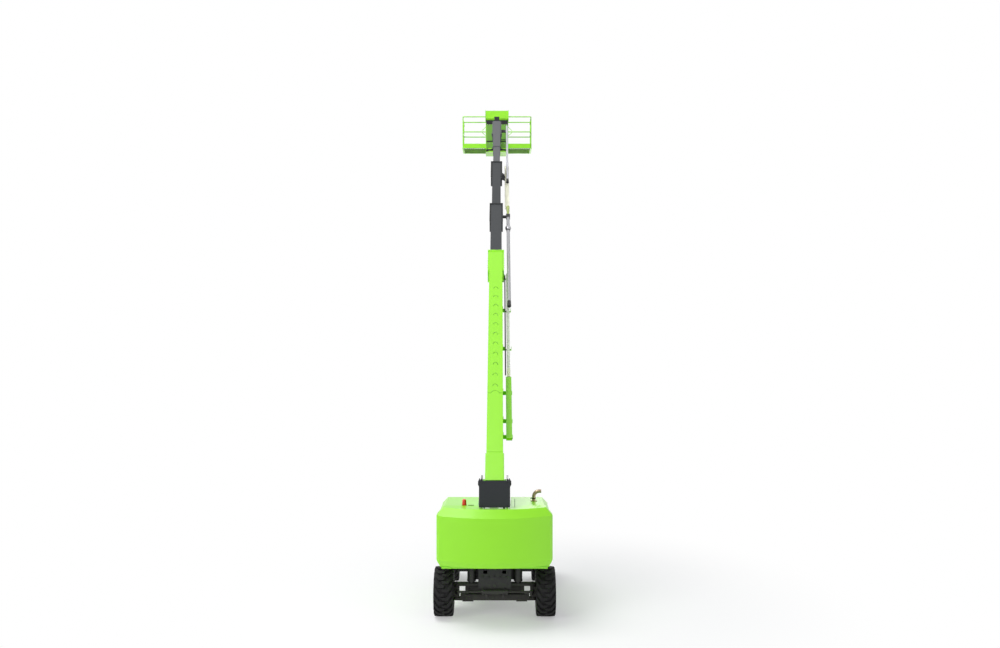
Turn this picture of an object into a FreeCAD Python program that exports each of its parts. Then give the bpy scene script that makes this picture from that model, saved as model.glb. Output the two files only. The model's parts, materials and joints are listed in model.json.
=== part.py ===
import FreeCAD, Part
import Sketcher
import math
import os
from FreeCAD import Placement, Rotation, Vector

# Telescopic boom lift: a two-axle drive chassis, a slewing turntable, a four-section
# telescopic boom with a jib, and a levelled work platform.
# Axes: +X to the machine's right, +Y the way the boom points, +Z up. Millimetres.
# The machine stands on z = 0 and the origin is at the middle of its floor rectangle.

SIZES = {
    # Wheels and the ground line
    "trackOuterWidth": 2430,
    "wheelbase": 2500,
    "tyreDiameter": 980,
    "tyreWidth": 390,
    "tyreBore": 440,
    "tyreShoulder": 45,
    "shoulderDrop": 48,
    "lugsPerSide": 19,
    "boreSides": 12,
    "lugHeight": 34,
    "lugRoot": 400,
    "lugTop": 479.2,
    "lugTurn": 170.44,
    "lugWidth": 58,
    "lugInset": 12,
    "lugBend": 95,
    "lugTip": 228,
    "lugSkew": 23,
    "lugEndLow": 105,
    "lugEndHigh": 180,
    "lugShift": 76,
    "rimWall": 14,
    "rimDiscThickness": 30,
    "hubRadius": 140,
    "wheelHubRadius": 110,
    # Chassis frame and slewing ring
    "frameWidth": 660,
    "frameBottom": 580,
    "frameTop": 970,
    "frameWall": 20,
    "frameFront": 1400,
    "frameRear": 1400,
    "saddleDepth": 270,
    "hangerThickness": 30,
    "crossBeamDepth": 200,
    "crossBeamHeight": 110,
    "slewRingRadius": 500,
    "slewRingHeight": 130,
    "slewRingDepth": 80,
    "slewRingGap": 0.3,
    "lugThickness": 25,
    "lugHoleRadius": 27,
    # Axles and steering
    "beamHalfDepth": 70,
    "beamBottom": 320,
    "beamTop": 440,
    "topPlateBottom": 610,
    "topPlateTop": 660,
    "kingpinInset": 55,
    "kingpinRadius": 30,
    "earRadius": 65,
    "earThickness": 50,
    "barrelRadius": 58,
    "runningFit": 0.05,
    "partGap": 5,
    "trunnionRadius": 40,
    "lockCylinderOffset": 470,
    "lockCylinderRadius": 85,
    "steerArmLength": 210,
    "steerArmInset": 40,
    "steerArmThickness": 30,
    "steerBarrelRadius": 45,
    "steerBarrelHalfLength": 260,
    "steerRodRadius": 22,
    "rodEyeRadius": 35,
    # Turntable
    "deckThickness": 40,
    "deckHalfWidth": 1040,
    "deckFront": 950,
    "uprightThickness": 30,
    "uprightInside": 235,
    "uprightTop": 2900,
    "uprightFront": 600,
    "pivotSetback": 1820,
    "pivotHeight": 2770,
    "pivotPinRadius": 40,
    "liftPinSetback": 1600,
    "liftPinHeight": 1450,
    "liftPinRadius": 35,
    # Counterweight
    "counterweightHalfWidth": 1122,
    "counterweightRear": 2370,
    "counterweightFront": 1840,
    "counterweightBottom": 1225,
    "counterweightTop": 2335,
    "cornerFacet": 50,
    "cornerStart": 2040,
    "cornerEnd": 2115,
    "topBevel": 130,
    "bottomBevel": 60,
    "topBevelHeight": 150,
    "bottomBevelHeight": 110,
    # Hoods and their doors
    "hoodInside": 330,
    "hoodOutside": 1075,
    "hoodRear": 1835,
    "hoodFront": 900,
    "hoodTop": 2310,
    "hoodFlatEnd": 650,
    "hoodFall": 37,
    "hoodNoseTop": 1700,
    "hoodWall": 20,
    "hoodBevel": 100,
    "doorRear": 1700,
    "doorFront": 350,
    "doorBottom": 1230,
    "doorTop": 2110,
    "doorThickness": 25,
    "hingeOut": 12,
    "hingeUp": 12,
    "hingePinRadius": 6,
    "coverHalfWidth": 300,
    "engineLength": 900,
    "engineWidth": 520,
    "engineHeight": 700,
    # Boom sections: half widths, half heights and walls
    "boomAngle": 38.5,
    "baseHalfWidth": 167.5,
    "baseHalfHeight": 220,
    "baseWall": 8,
    "secondHalfWidth": 150,
    "secondHalfHeight": 195,
    "secondWall": 7,
    "thirdHalfWidth": 125,
    "thirdHalfHeight": 170,
    "thirdWall": 6,
    "flyHalfWidth": 104,
    "flyHalfHeight": 145,
    "flyWall": 6,
    "padGap": 0.3,
    "padLength": 150,
    # Boom stations, measured from the pivot along the boom
    "baseTail": 120,
    "baseHead": 7830,
    "secondTail": 3330,
    "secondHead": 10230,
    "thirdTail": 6140,
    "thirdHead": 12740,
    "flyTail": 8600,
    "flyHead": 15530,
    "flySleeveLength": 1760,
    "baseCollarLength": 910,
    "secondCollarLength": 950,
    "thirdCollarLength": 980,
    "baseCollarHalfWidth": 208,
    "secondCollarHalfWidth": 183,
    "thirdCollarHalfWidth": 168,
    "flySleeveHalfWidth": 116,
    "flySleeveHalfHeight": 165,
    "flyCheekLength": 880,
    "flyCheekThickness": 27,
    "rimFlange": 45,
    "footDoublerLength": 590,
    "footHalfWidth": 185,
    # Lift cylinder
    "liftEyeStation": 2200,
    "liftEyeDrop": 450,
    "liftEyeRadius": 60,
    "liftBarrelRadius": 85,
    "liftBarrelLength": 1750,
    "liftRodRadius": 50,
    "liftRodLength": 1860,
    "liftCheekInside": 75,
    "liftCheekThickness": 25,
    # Hose carrier along the boom's right side
    "carrierInside": 235,
    "carrierOutside": 360,
    "carrierAxis": 330,
    "trayStart": 1350,
    "trayCoverEnd": 3250,
    "trayEnd": 7200,
    "chainHalfWidth": 38,
    "lowerTubeRadius": 45,
    "upperTubeRadius": 33,
    "lowerTubeLength": 4600,
    "upperTubeLength": 3650,
    "upperChainLength": 2300,
    "lowerTubeLevel": 52,
    "upperTubeLevel": -48,
    "chainFloor": -200,
    "chainTop": -140,
    "chainEndSides": 8,
    "stripBottom": -130,
    "stripTop": -92,
    "linkGap": 10,
    "linkGapDepth": 14,
    "lowerChainLinks": 22,
    "upperChainLinks": 24,
    # Fly head linkage
    "jibBasePinSetback": 180,
    "jibBasePinDrop": 270,
    "linkPinRadius": 20,
    "levelArmAlong": 137,
    "levelArmDrop": 172,
    "levelPinSetback": 750,
    "levelPinDrop": 100,
    "jibPinAhead": 420,
    "jibPinRise": 50,
    "linkSpacing": 220,
    "jibLength": 1150,
    "jibHalfWidth": 57,
    "jibHalfHeight": 44,
    "jibPlateThickness": 10,
    "jibBoxStart": 760,
    "jibCylinderAhead": 410,
    "jibCylinderDrop": 75,
    "jibEyeStation": 640,
    "jibEyeDrop": 15,
    "jibBarrelRadius": 36,
    "jibBarrelLength": 430,
    "jibRodLength": 430,
    "levelBarrelRadius": 40,
    "levelBarrelLength": 500,
    "levelRodLength": 520,
    "linkRodRadius": 21.95,
    "jibBaseTop": 680,
    "rotatorAhead": 200,
    "rotatorRadius": 70,
    # Platform
    "platformWidth": 2440,
    "platformDepth": 910,
    "platformAhead": 200,
    "floorDrop": 104,
    "floorThickness": 40,
    "railHeight": 1150,
    "midRailHeight": 600,
    "toeBoardHeight": 190,
    "toeBoardThickness": 5,
    "floorEdge": 50,
    "railRadius": 18,
    "railBend": 60,
    "consoleHalfWidth": 400,
    "consoleBottom": 1000,
    "consoleTop": 1340,
}

doc = FreeCAD.newDocument("BoomLift")
sheet = doc.addObject("Spreadsheet::Sheet", "Sizes")
for row, (alias, number) in enumerate(SIZES.items(), start=1):
    sheet.set(f"A{row}", alias)
    sheet.set(f"B{row}", str(number))
    sheet.setAlias(f"B{row}", alias)
doc.recompute()


class Size:
    """A dimension with its present value and the sheet formula that gives it."""

    def __init__(self, value, formula):
        self.value = value
        self.formula = formula

    def __float__(self):
        return self.value

    def __add__(self, other):
        other = as_size(other)
        return Size(self.value + other.value, f"({self.formula} + {other.formula})")

    __radd__ = __add__

    def __sub__(self, other):
        other = as_size(other)
        return Size(self.value - other.value, f"({self.formula} - {other.formula})")

    def __rsub__(self, other):
        return as_size(other) - self

    def __neg__(self):
        return 0 - self

    def __mul__(self, other):
        other = as_size(other)
        return Size(self.value * other.value, f"({self.formula} * {other.formula})")

    __rmul__ = __mul__

    def __truediv__(self, other):
        other = as_size(other)
        return Size(self.value / other.value, f"({self.formula} / {other.formula})")


def as_size(number):
    return number if isinstance(number, Size) else Size(float(number), f"({number})")


def cosine(angle):
    return Size(math.cos(math.radians(float(angle))), f"cos({angle.formula})")


def sine(angle):
    return Size(math.sin(math.radians(float(angle))), f"sin({angle.formula})")


class Sheet:
    """The spreadsheet's cells by name, each as a Size."""

    def __getattr__(self, alias):
        return Size(float(sheet.get(alias)), f"Sizes.{alias}")


S = Sheet()


class Frame:
    """A sub-part's own frame: its origin, and its tilt about X in degrees."""

    def __init__(self, origin, tilt=None):
        self.origin = origin
        self.tilt = tilt

    def point(self, ahead, above):
        """The place in the machine's frame of a point in this frame's side plane."""
        x, y, z = self.origin
        if self.tilt is None:
            return (x, y + ahead, z + above)
        along, up = cosine(self.tilt), sine(self.tilt)
        return (x, y + ahead * along - above * up, z + ahead * up + above * along)


# ---------------------------------------------------------------- building helpers


def bind(thing, prop, length):
    """Ties one property to the sheet."""
    thing.setExpression(prop, as_size(length).formula)


def put(thing, at, rotation=None):
    """Places a thing, with its position tied to the sheet."""
    place = Vector(*(float(coordinate) for coordinate in at))
    thing.Placement = Placement(place, rotation or Rotation())
    for axis, coordinate in zip("xyz", at):
        bind(thing, f"Placement.Base.{axis}", coordinate)


def block(name, across, along, upward):
    """A rectangular block between the given limits on X, Y and Z."""
    thing = doc.addObject("Part::Box", name)
    for prop, (low, high) in zip(("Length", "Width", "Height"), (across, along, upward)):
        bind(thing, prop, as_size(high) - low)
    put(thing, [as_size(limits[0]) for limits in (across, along, upward)])
    return thing


AXIS_TURNS = {
    "X": Rotation(Vector(0, 1, 0), 90),
    "Y": Rotation(Vector(1, 0, 0), -90),
    "Z": Rotation(),
}


def round_bar(name, axis, limits, centre, radius):
    """A cylinder along an axis between two limits; centre holds the other two coordinates."""
    thing = doc.addObject("Part::Cylinder", name)
    bind(thing, "Radius", radius)
    bind(thing, "Height", as_size(limits[1]) - limits[0])
    at = [as_size(coordinate) for coordinate in centre]
    at.insert("XYZ".index(axis), as_size(limits[0]))
    put(thing, at, AXIS_TURNS[axis])
    return thing


def flat_bar(name, limits, centre, reach, sides):
    """A many-sided bar along X with a flat at its bottom; reach is from its middle to a flat."""
    turn = as_size(180) / sides
    thing = doc.addObject("Part::Prism", name)
    bind(thing, "Polygon", sides)
    bind(thing, "Circumradius", reach / cosine(turn))
    bind(thing, "Height", as_size(limits[1]) - limits[0])
    at = [as_size(limits[0])] + [as_size(coordinate) for coordinate in centre]
    put(thing, at, AXIS_TURNS["X"] * Rotation(Vector(0, 0, 1), float(turn)))
    return thing


def cone(name, limits, centre, radii):
    """An upright cone's frustum, with its radius at each of the two heights."""
    thing = doc.addObject("Part::Cone", name)
    bind(thing, "Radius1", radii[0])
    bind(thing, "Radius2", radii[1])
    bind(thing, "Height", as_size(limits[1]) - limits[0])
    put(thing, (as_size(centre[0]), as_size(centre[1]), as_size(limits[0])))
    return thing


PLANES = {"X": "YZ_Plane", "Y": "XZ_Plane", "Z": "XY_Plane"}


def plate(name, axis, limits, outline):
    """A straight-edged outline padded along an axis; its points hold the other two coordinates."""
    body = doc.addObject("PartDesign::Body", name)
    sketch = body.newObject("Sketcher::SketchObject", name + "_outline")
    plane = [item for item in body.Origin.OriginFeatures if item.Role == PLANES[axis]][0]
    sketch.AttachmentSupport = (plane, [""])
    sketch.MapMode = "FlatFace"
    # The XZ plane's normal points along -Y, so its outlines are offset and padded backwards.
    sign = -1 if axis == "Y" else 1
    bind(sketch, "AttachmentOffset.Base.z", as_size(limits[0]) * sign)
    points = [Vector(float(u), float(v), 0) for u, v in outline]
    count = len(points)
    for index in range(count):
        sketch.addGeometry(Part.LineSegment(points[index], points[(index + 1) % count]), False)
    for index in range(count):
        following = (index + 1) % count
        sketch.addConstraint(Sketcher.Constraint("Coincident", index, 2, following, 1))
    for index, (u, v) in enumerate(outline):
        for kind, distance in (("DistanceX", u), ("DistanceY", v)):
            if abs(float(distance)) < 1e-6:
                pinned = "PointOnObject"
                axis_line = -2 if kind == "DistanceX" else -1
                sketch.addConstraint(Sketcher.Constraint(pinned, index, 1, axis_line))
                continue
            value = float(distance)
            number = sketch.addConstraint(Sketcher.Constraint(kind, -1, 1, index, 1, value))
            bind(sketch, f"Constraints[{number}]", distance)
    pad = body.newObject("PartDesign::Pad", name + "_pad")
    pad.Profile = sketch
    pad.Reversed = axis == "Y"
    bind(pad, "Length", as_size(limits[1]) - limits[0])
    return body


def fuse(name, *things):
    thing = doc.addObject("Part::MultiFuse", name)
    thing.Shapes = list(things)
    thing.Refine = True
    return thing


def cut(name, base, *tools):
    """The base less its tools."""
    thing = doc.addObject("Part::Cut", name)
    thing.Base = base
    thing.Tool = tools[0] if len(tools) == 1 else fuse(name + "_tools", *tools)
    thing.Refine = True
    return thing


def mirrored(name, thing):
    """The thing's mirror image across the machine's middle plane."""
    image = doc.addObject("Part::Mirroring", name)
    image.Source = thing
    image.Normal = (1, 0, 0)
    return image


def both_sides(name, thing):
    """The thing and its mirror image as one."""
    return fuse(name, thing, mirrored(name + "_image", thing))


def chamfered(name, base, chosen, first, second):
    """Chamfers the edges that the test picks out."""
    doc.recompute()
    thing = doc.addObject("Part::Chamfer", name)
    thing.Base = base
    numbers = [i for i, edge in enumerate(base.Shape.Edges, start=1) if chosen(edge)]
    thing.Edges = [(number, float(first), float(second)) for number in numbers]
    return thing


def box_tube(name, along, half_width, half_height, wall):
    """A rectangular tube along Y about the frame's own axis."""
    outer = block(name + "_outer", (-half_width, half_width), along, (-half_height, half_height))
    inner_width, inner_height = half_width - wall, half_height - wall
    reach = (along[0] - 1, along[1] + 1)
    bore = block(
        name + "_bore", (-inner_width, inner_width), reach, (-inner_height, inner_height)
    )
    return cut(name + "_tube", outer, bore)


NODES = {}


def node(name, thing, frame):
    """Names a finished sub-part and sets it in its frame."""
    thing.Label = name
    rotation = Rotation() if frame.tilt is None else Rotation(Vector(1, 0, 0), float(frame.tilt))
    put(thing, frame.origin, rotation)
    if frame.tilt is not None:
        bind(thing, "Placement.Rotation.Angle", frame.tilt)
    NODES[name] = thing


# ---------------------------------------------------------------- frames

ahead = cosine(S.boomAngle)
up = sine(S.boomAngle)
jib_pin_station = S.flyHead - S.jibBasePinSetback
fly_pin_ahead = jib_pin_station * ahead + S.jibBasePinDrop * up
platform_reach = (
    fly_pin_ahead
    - S.pivotSetback
    + S.jibPinAhead
    + S.jibLength
    + S.rotatorAhead
    + S.platformAhead
    + S.platformDepth
)
slew_y = (S.counterweightRear - platform_reach) / 2

GROUND = Frame((as_size(0), slew_y, as_size(0)))
BOOM = Frame((as_size(0), slew_y - S.pivotSetback, S.pivotHeight), S.boomAngle)
JIB_BASE = Frame(BOOM.point(jib_pin_station, -S.jibBasePinDrop))
JIB = Frame(JIB_BASE.point(S.jibPinAhead, S.jibPinRise))
SUPPORT = Frame(JIB.point(S.jibLength, as_size(0)))
PLATFORM = Frame(SUPPORT.point(S.rotatorAhead, -S.floorDrop))

wheel_radius = S.tyreDiameter / 2
wheel_outer = S.trackOuterWidth / 2
wheel_inner = wheel_outer - S.tyreWidth
kingpin_x = wheel_inner - S.kingpinInset
steer_y = -S.wheelbase / 2
fixed_y = S.wheelbase / 2


# ---------------------------------------------------------------- chassis


def chassis_frame():
    half = S.frameWidth / 2
    wall = S.frameWall
    rear, front = -S.frameRear, S.frameFront
    saddle_front = rear + S.saddleDepth
    arch = S.topPlateTop + 40

    def profile(inset):
        """The frame's side outline, a box whose rear end sits on the steer axle as a saddle."""
        return [
            (rear + inset, arch + inset),
            (saddle_front + S.hangerThickness + inset, arch + inset),
            (saddle_front + S.hangerThickness + inset, S.frameBottom + inset),
            (front - inset, S.frameBottom + inset),
            (front - inset, S.frameTop - inset),
            (rear + inset, S.frameTop - inset),
        ]

    shell = plate("frame_shell", "X", (-half, half), profile(as_size(0)))
    inside = plate("frame_inside", "X", (-(half - wall), half - wall), profile(wall))
    hole = block(
        "frame_hole", (150, 230), (rear - 1, rear + wall + 1), (S.frameTop - 90, S.frameTop - 25)
    )
    hollow = cut("frame_hollow", shell, inside, hole, mirrored("frame_hole_image", hole))
    hanger = block(
        "hanger",
        (-half, half),
        (rear, rear + S.hangerThickness),
        (S.frameBottom, arch),
    )
    trunnion = round_bar(
        "trunnion",
        "Y",
        (rear - 10, saddle_front + S.hangerThickness + 1),
        (0, S.topPlateTop - S.trunnionRadius / 2),
        S.trunnionRadius,
    )
    lug = tie_down_lug(front)
    thing = fuse(
        "chassis",
        hollow,
        hanger,
        trunnion,
        lug,
        mirrored("lug_image", lug),
    )
    node("chassis_frame", thing, GROUND)


def cross_beams():
    """The arms at the frame's two sides that hold the lock cylinders' heads."""
    half = S.frameWidth / 2
    near = steer_y + S.lockCylinderRadius
    far = near + S.crossBeamDepth
    arm = plate(
        "cross_arm",
        "Z",
        (S.frameTop - S.crossBeamHeight, S.frameTop),
        [
            (half, near),
            (kingpin_x - 20, near),
            (kingpin_x - 185, far),
            (half, far),
        ],
    )
    web = block(
        "cross_web",
        (half, half + 70),
        (near, near + 30),
        (S.topPlateTop + 40, S.frameTop),
    )
    node("cross_beams", both_sides("cross_arms", fuse("cross_beam", arm, web)), GROUND)


def tie_down_lug(front):
    """A plate with a shackle hole on the frame's front end, to the right of its middle."""
    side = S.frameWidth / 2 - 80
    centre_z = S.frameBottom + 90
    web = block(
        "lug_web", (side, side + S.lugThickness), (front - 1, front + 75), (centre_z - 60, centre_z + 60)
    )
    nose = round_bar("lug_nose", "X", (side, side + S.lugThickness), (front + 75, centre_z), 60)
    hole = round_bar(
        "lug_hole", "X", (side - 1, side + S.lugThickness + 1), (front + 75, centre_z), S.lugHoleRadius
    )
    return cut("lug", fuse("lug_body", web, nose), hole)


def lock_cylinders():
    """The two cylinders that stop the steer axle rocking."""
    x = S.lockCylinderOffset
    radius = S.lockCylinderRadius
    barrel = round_bar("lock_barrel", "Z", (S.topPlateTop + 40, S.frameTop - 10), (x, steer_y), radius)
    foot = round_bar("lock_foot", "Z", (S.topPlateTop, S.topPlateTop + 41), (x, steer_y), radius - 30)
    pad = block(
        "lock_pad",
        (x - 60, x + 60),
        (steer_y + 20, steer_y + S.lockCylinderRadius),
        (S.frameTop - 100, S.frameTop - 20),
    )
    node("axle_lock_cylinders", both_sides("locks", fuse("lock", barrel, foot, pad)), GROUND)


def steer_axle():
    pin = kingpin_x
    depth = S.beamHalfDepth
    y0, y1 = steer_y - depth, steer_y + depth
    inner_end = pin - S.barrelRadius - 17
    lower = block("axle_lower_beam", (-inner_end, inner_end), (y0, y1), (S.beamBottom, S.beamTop))
    upper = block("axle_top_plate", (-pin, pin), (y0, y1), (S.topPlateBottom, S.topPlateTop))
    centre = cut(
        "axle_centre",
        block("axle_centre_block", (-120, 120), (y0 - 20, y1 + 20), (S.beamTop - 1, S.topPlateTop + 30)),
        round_bar(
            "axle_centre_bore",
            "Y",
            (y0 - 21, y1 + 21),
            (0, S.topPlateTop - S.trunnionRadius / 2),
            S.trunnionRadius + S.runningFit,
        ),
    )
    upper_clear = round_bar(
        "axle_top_bore",
        "Y",
        (y0 - 21, y1 + 21),
        (0, S.topPlateTop - S.trunnionRadius / 2),
        S.trunnionRadius + S.runningFit,
    )
    between = (S.beamTop - 1, S.topPlateBottom + 1)
    post = block("axle_post", (pin - 240, pin - 175), (steer_y - 35, steer_y + 35), between)
    web = block("axle_web", (119, pin - 239), (steer_y + 15, steer_y + 35), between)
    foot = block("axle_foot", (pin - 340, pin - 120), (y0, y1), (S.beamBottom - 20, S.beamBottom + 1))
    ears = [
        round_bar("axle_upper_ear", "Z", (S.topPlateBottom, S.topPlateTop), (pin, steer_y), S.earRadius),
        round_bar(
            "axle_lower_ear", "Z", (S.beamBottom, S.beamBottom + S.earThickness), (pin, steer_y), S.earRadius
        ),
        block(
            "axle_ear_web",
            (inner_end - 1, pin),
            (steer_y - S.earRadius, steer_y + S.earRadius),
            (S.beamBottom, S.beamBottom + S.earThickness),
        ),
        round_bar("kingpin", "Z", (S.beamBottom, S.topPlateTop + 15), (pin, steer_y), S.kingpinRadius),
    ]
    end = fuse("axle_end", post, web, foot, *ears)
    beam = fuse("axle_beam", lower, cut("axle_top", upper, upper_clear), centre, both_sides("axle_ends", end))
    node("steer_axle", beam, GROUND)


def steer_cylinder():
    """The steering cylinder's barrel, held on the axle's rear face by two brackets."""
    y = steer_y - S.steerArmLength
    z = steer_rod_height()
    barrel = cut(
        "steer_barrel",
        round_bar(
            "steer_barrel_outer",
            "X",
            (-S.steerBarrelHalfLength, S.steerBarrelHalfLength),
            (y, z),
            S.steerBarrelRadius,
        ),
        round_bar(
            "steer_barrel_bore",
            "X",
            (-S.steerBarrelHalfLength - 1, S.steerBarrelHalfLength + 1),
            (y, z),
            S.steerRodRadius + S.runningFit,
        ),
    )
    rear_face = steer_y - S.beamHalfDepth
    bracket = block("steer_bracket", (150, 190), (y, rear_face), (S.beamTop - 30, z))
    clear = round_bar("steer_bracket_bore", "X", (149, 191), (y, z), S.steerBarrelRadius - 1)
    bracket_body = cut("steer_bracket_body", bracket, clear)
    brackets = both_sides("steer_brackets", bracket_body)
    node("steer_cylinder", fuse("steer_cylinder_body", barrel, brackets), GROUND)


def steer_rod_height():
    return wheel_radius + 45


def steer_rod():
    """The steering cylinder's through rod with an eye at each end."""
    y = steer_y - S.steerArmLength
    z = steer_rod_height()
    x = kingpin_x - S.steerArmInset
    rod = round_bar("steer_rod_bar", "X", (-x, x), (y, z), S.steerRodRadius)
    eye = round_bar("steer_eye", "Z", (z - 25, z + 25), (x, y), S.rodEyeRadius)
    node("steer_rod", fuse("steer_rod_body", rod, eye, mirrored("steer_eye_image", eye)), GROUND)


def knuckle(side, name):
    """A steering knuckle: its kingpin barrel, drive hub and arm."""
    pin = kingpin_x
    gap = S.partGap
    low = S.beamBottom + S.earThickness + gap
    high = S.topPlateBottom - gap
    hub_face = wheel_inner + 155
    barrel = round_bar(name + "_barrel", "Z", (low, high), (pin, steer_y), S.barrelRadius)
    bore = round_bar(name + "_bore", "Z", (low - 1, high + 1), (pin, steer_y), S.kingpinRadius + S.runningFit)
    neck = block(name + "_neck", (pin, wheel_inner + 20), (steer_y - 55, steer_y + 55), (low + 15, high - 15))
    hub = round_bar(name + "_hub", "X", (wheel_inner + 15, hub_face), (steer_y, wheel_radius), S.hubRadius)
    eye_bottom = steer_rod_height() - 25
    arm_top = eye_bottom - S.partGap
    x_tip = pin - S.steerArmInset
    y_tip = steer_y - S.steerArmLength
    arm = plate(
        name + "_arm",
        "Z",
        (arm_top - S.steerArmThickness, arm_top),
        [(pin - 35, steer_y), (x_tip - 32, y_tip), (x_tip + 32, y_tip), (pin + 35, steer_y)],
    )
    tip = round_bar(name + "_tip", "Z", (arm_top - S.steerArmThickness, arm_top), (x_tip, y_tip), 32)
    stub = round_bar(name + "_stub", "Z", (arm_top - 1, eye_bottom - 0.5), (x_tip, y_tip), 15)
    body = cut(name + "_body", fuse(name + "_solid", barrel, neck, hub, arm, tip, stub), bore)
    thing = body if side > 0 else mirrored(name + "_mirror", body)
    node(name, thing, GROUND)


def fixed_axle():
    """The axle that doesn't steer: a beam under the frame with a drive hub at each end."""
    top = S.frameBottom
    beam = block(
        "fixed_beam",
        (-(wheel_inner + 20), wheel_inner + 20),
        (fixed_y - 100, fixed_y + 100),
        (wheel_radius - 100, top),
    )
    hub = round_bar(
        "fixed_hub", "X", (wheel_inner + 15, wheel_inner + 155), (fixed_y, wheel_radius), S.hubRadius
    )
    node("fixed_axle", fuse("fixed_axle_body", beam, both_sides("fixed_hubs", hub)), GROUND)


def turned(name, thing, angle):
    """The thing turned about the X axis."""
    copy = doc.addObject("Part::Compound", name)
    copy.Links = [thing]
    copy.Placement = Placement(Vector(), Rotation(Vector(1, 0, 0), float(angle)))
    bind(copy, "Placement.Rotation.Angle", angle)
    return copy


def tread_lug():
    """One lug at the top of a tyre, from near the tread's middle out to the shoulder."""
    shoulder = S.tyreWidth / 2
    half = S.lugWidth / 2
    return plate(
        "tread_lug",
        "Z",
        (S.lugRoot, S.lugTop),
        [
            (shoulder - S.lugInset, S.lugEndLow - S.lugShift),
            (shoulder - S.lugBend, -half - S.lugShift),
            (shoulder - S.lugTip, -S.lugShift),
            (shoulder - S.lugBend - S.lugSkew, half - S.lugShift),
            (shoulder - S.lugInset, S.lugEndHigh - S.lugShift),
        ],
    )


def tyre():
    """A tyre about the X axis at the machine's origin, with lugs set in turn on its two sides."""
    half = S.tyreWidth / 2
    pitch = as_size(360) / S.lugsPerSide
    carcass = chamfered(
        "tyre_carcass",
        flat_bar("tyre_drum", (-half, half), (0, 0), wheel_radius - S.lugHeight, S.lugsPerSide),
        lambda edge: abs(abs(edge.CenterOfMass.x) - float(half)) < 1,
        S.shoulderDrop,
        S.tyreShoulder,
    )
    bore = flat_bar("tyre_bore", (-half - 1, half + 1), (0, 0), S.tyreBore / 2, S.boreSides)
    lug = tread_lug()
    image = mirrored("tread_lug_image", lug)
    lugs = []
    for index in range(int(float(S.lugsPerSide))):
        lugs.append(turned(f"right_lug_{index}", lug, S.lugTurn + pitch * index))
        lugs.append(turned(f"left_lug_{index}", image, S.lugTurn + pitch * (index + 0.5)))
    return fuse("tyre", cut("tyre_ring", carcass, bore), *lugs)


def wheel(name, side, y, tyre_body):
    """A tyre and its rim, on the right for side 1 and on the left for side -1."""
    bore_radius = S.tyreBore / 2
    tyre_frame = Frame((side * (wheel_inner + wheel_outer) / 2, slew_y + y, wheel_radius))
    if side > 0:
        tyre_copy = turned(name + "_tyre", tyre_body, as_size(0))
    else:
        tyre_copy = mirrored(name + "_tyre", tyre_body)
    node("tyre_" + name, tyre_copy, tyre_frame)
    rim_outer = round_bar(
        name + "_rim_outer", "X", (wheel_inner + 8, wheel_outer - 8), (y, wheel_radius), bore_radius
    )
    rim_bore = round_bar(
        name + "_rim_bore", "X", (wheel_inner, wheel_outer), (y, wheel_radius), bore_radius - S.rimWall
    )
    hub_face = wheel_inner + 155
    disc_face = hub_face + S.slewRingGap
    disc_along = (disc_face, disc_face + S.rimDiscThickness)
    disc = round_bar(name + "_rim_disc", "X", disc_along, (y, wheel_radius), bore_radius - 5)
    boss = round_bar(
        name + "_rim_boss", "X", (disc_face, disc_face + 110), (y, wheel_radius), S.wheelHubRadius
    )
    rim_body = fuse(name + "_rim_body", cut(name + "_rim_barrel", rim_outer, rim_bore), disc, boss)
    node("rim_" + name, rim_body if side > 0 else mirrored(name + "_rim_mirror", rim_body), GROUND)


# ---------------------------------------------------------------- turntable

deck_bottom = S.frameTop + S.slewRingHeight
deck_top = deck_bottom + S.deckThickness


def turntable_frame():
    rear = -S.counterweightFront
    deck = block(
        "deck", (-S.deckHalfWidth, S.deckHalfWidth), (rear, S.deckFront), (deck_bottom, deck_top)
    )
    ring_top = S.frameTop + S.slewRingDepth
    ring = cut(
        "ring",
        round_bar("ring_outer", "Z", (S.frameTop + S.slewRingGap, ring_top), (0, 0), S.slewRingRadius),
        round_bar("ring_bore", "Z", (S.frameTop, ring_top + 1), (0, 0), S.slewRingRadius - 90),
    )
    ring_seat = round_bar("ring_seat", "Z", (ring_top - 1, deck_bottom + 1), (0, 0), S.slewRingRadius - 20)
    inside = S.uprightInside
    outside = inside + S.uprightThickness
    back = -S.pivotSetback - 280
    side = plate(
        "upright",
        "X",
        (inside, outside),
        [
            (rear, deck_top - 1),
            (S.uprightFront, deck_top - 1),
            (S.uprightFront, deck_top + 360),
            (-1000, 2150),
            (-S.pivotSetback + 300, S.uprightTop - 60),
            (-S.pivotSetback + 150, S.uprightTop),
            (back, S.uprightTop),
            (back, S.counterweightTop + 15),
            (rear, S.counterweightTop + 15),
        ],
    )
    lift_place = (-S.liftPinSetback, S.liftPinHeight)
    pivot_place = (-S.pivotSetback, S.pivotHeight)
    lift_boss = round_bar("lift_boss", "X", (outside - 1, outside + 25), lift_place, 70)
    pivot_boss = round_bar("pivot_boss", "X", (outside - 1, outside + 45), pivot_place, 70)
    sides = both_sides("uprights", fuse("upright_side", side, lift_boss, pivot_boss))
    rear_web = block(
        "rear_web", (-inside - 1, inside + 1), (rear, rear + 25), (deck_top - 1, S.counterweightTop)
    )
    front_web = block(
        "front_web",
        (-inside - 1, inside + 1),
        (S.uprightFront - 25, S.uprightFront),
        (deck_top - 1, deck_top + 340),
    )
    pivot_pin = round_bar(
        "pivot_pin", "X", (-outside - 60, outside + 60), (-S.pivotSetback, S.pivotHeight), S.pivotPinRadius
    )
    lift_pin = round_bar(
        "lift_pin", "X", (-outside - 30, outside + 30), (-S.liftPinSetback, S.liftPinHeight), S.liftPinRadius
    )
    thing = fuse("turntable", deck, ring, ring_seat, sides, rear_web, front_web, pivot_pin, lift_pin)
    node("turntable_frame", thing, GROUND)


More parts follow.
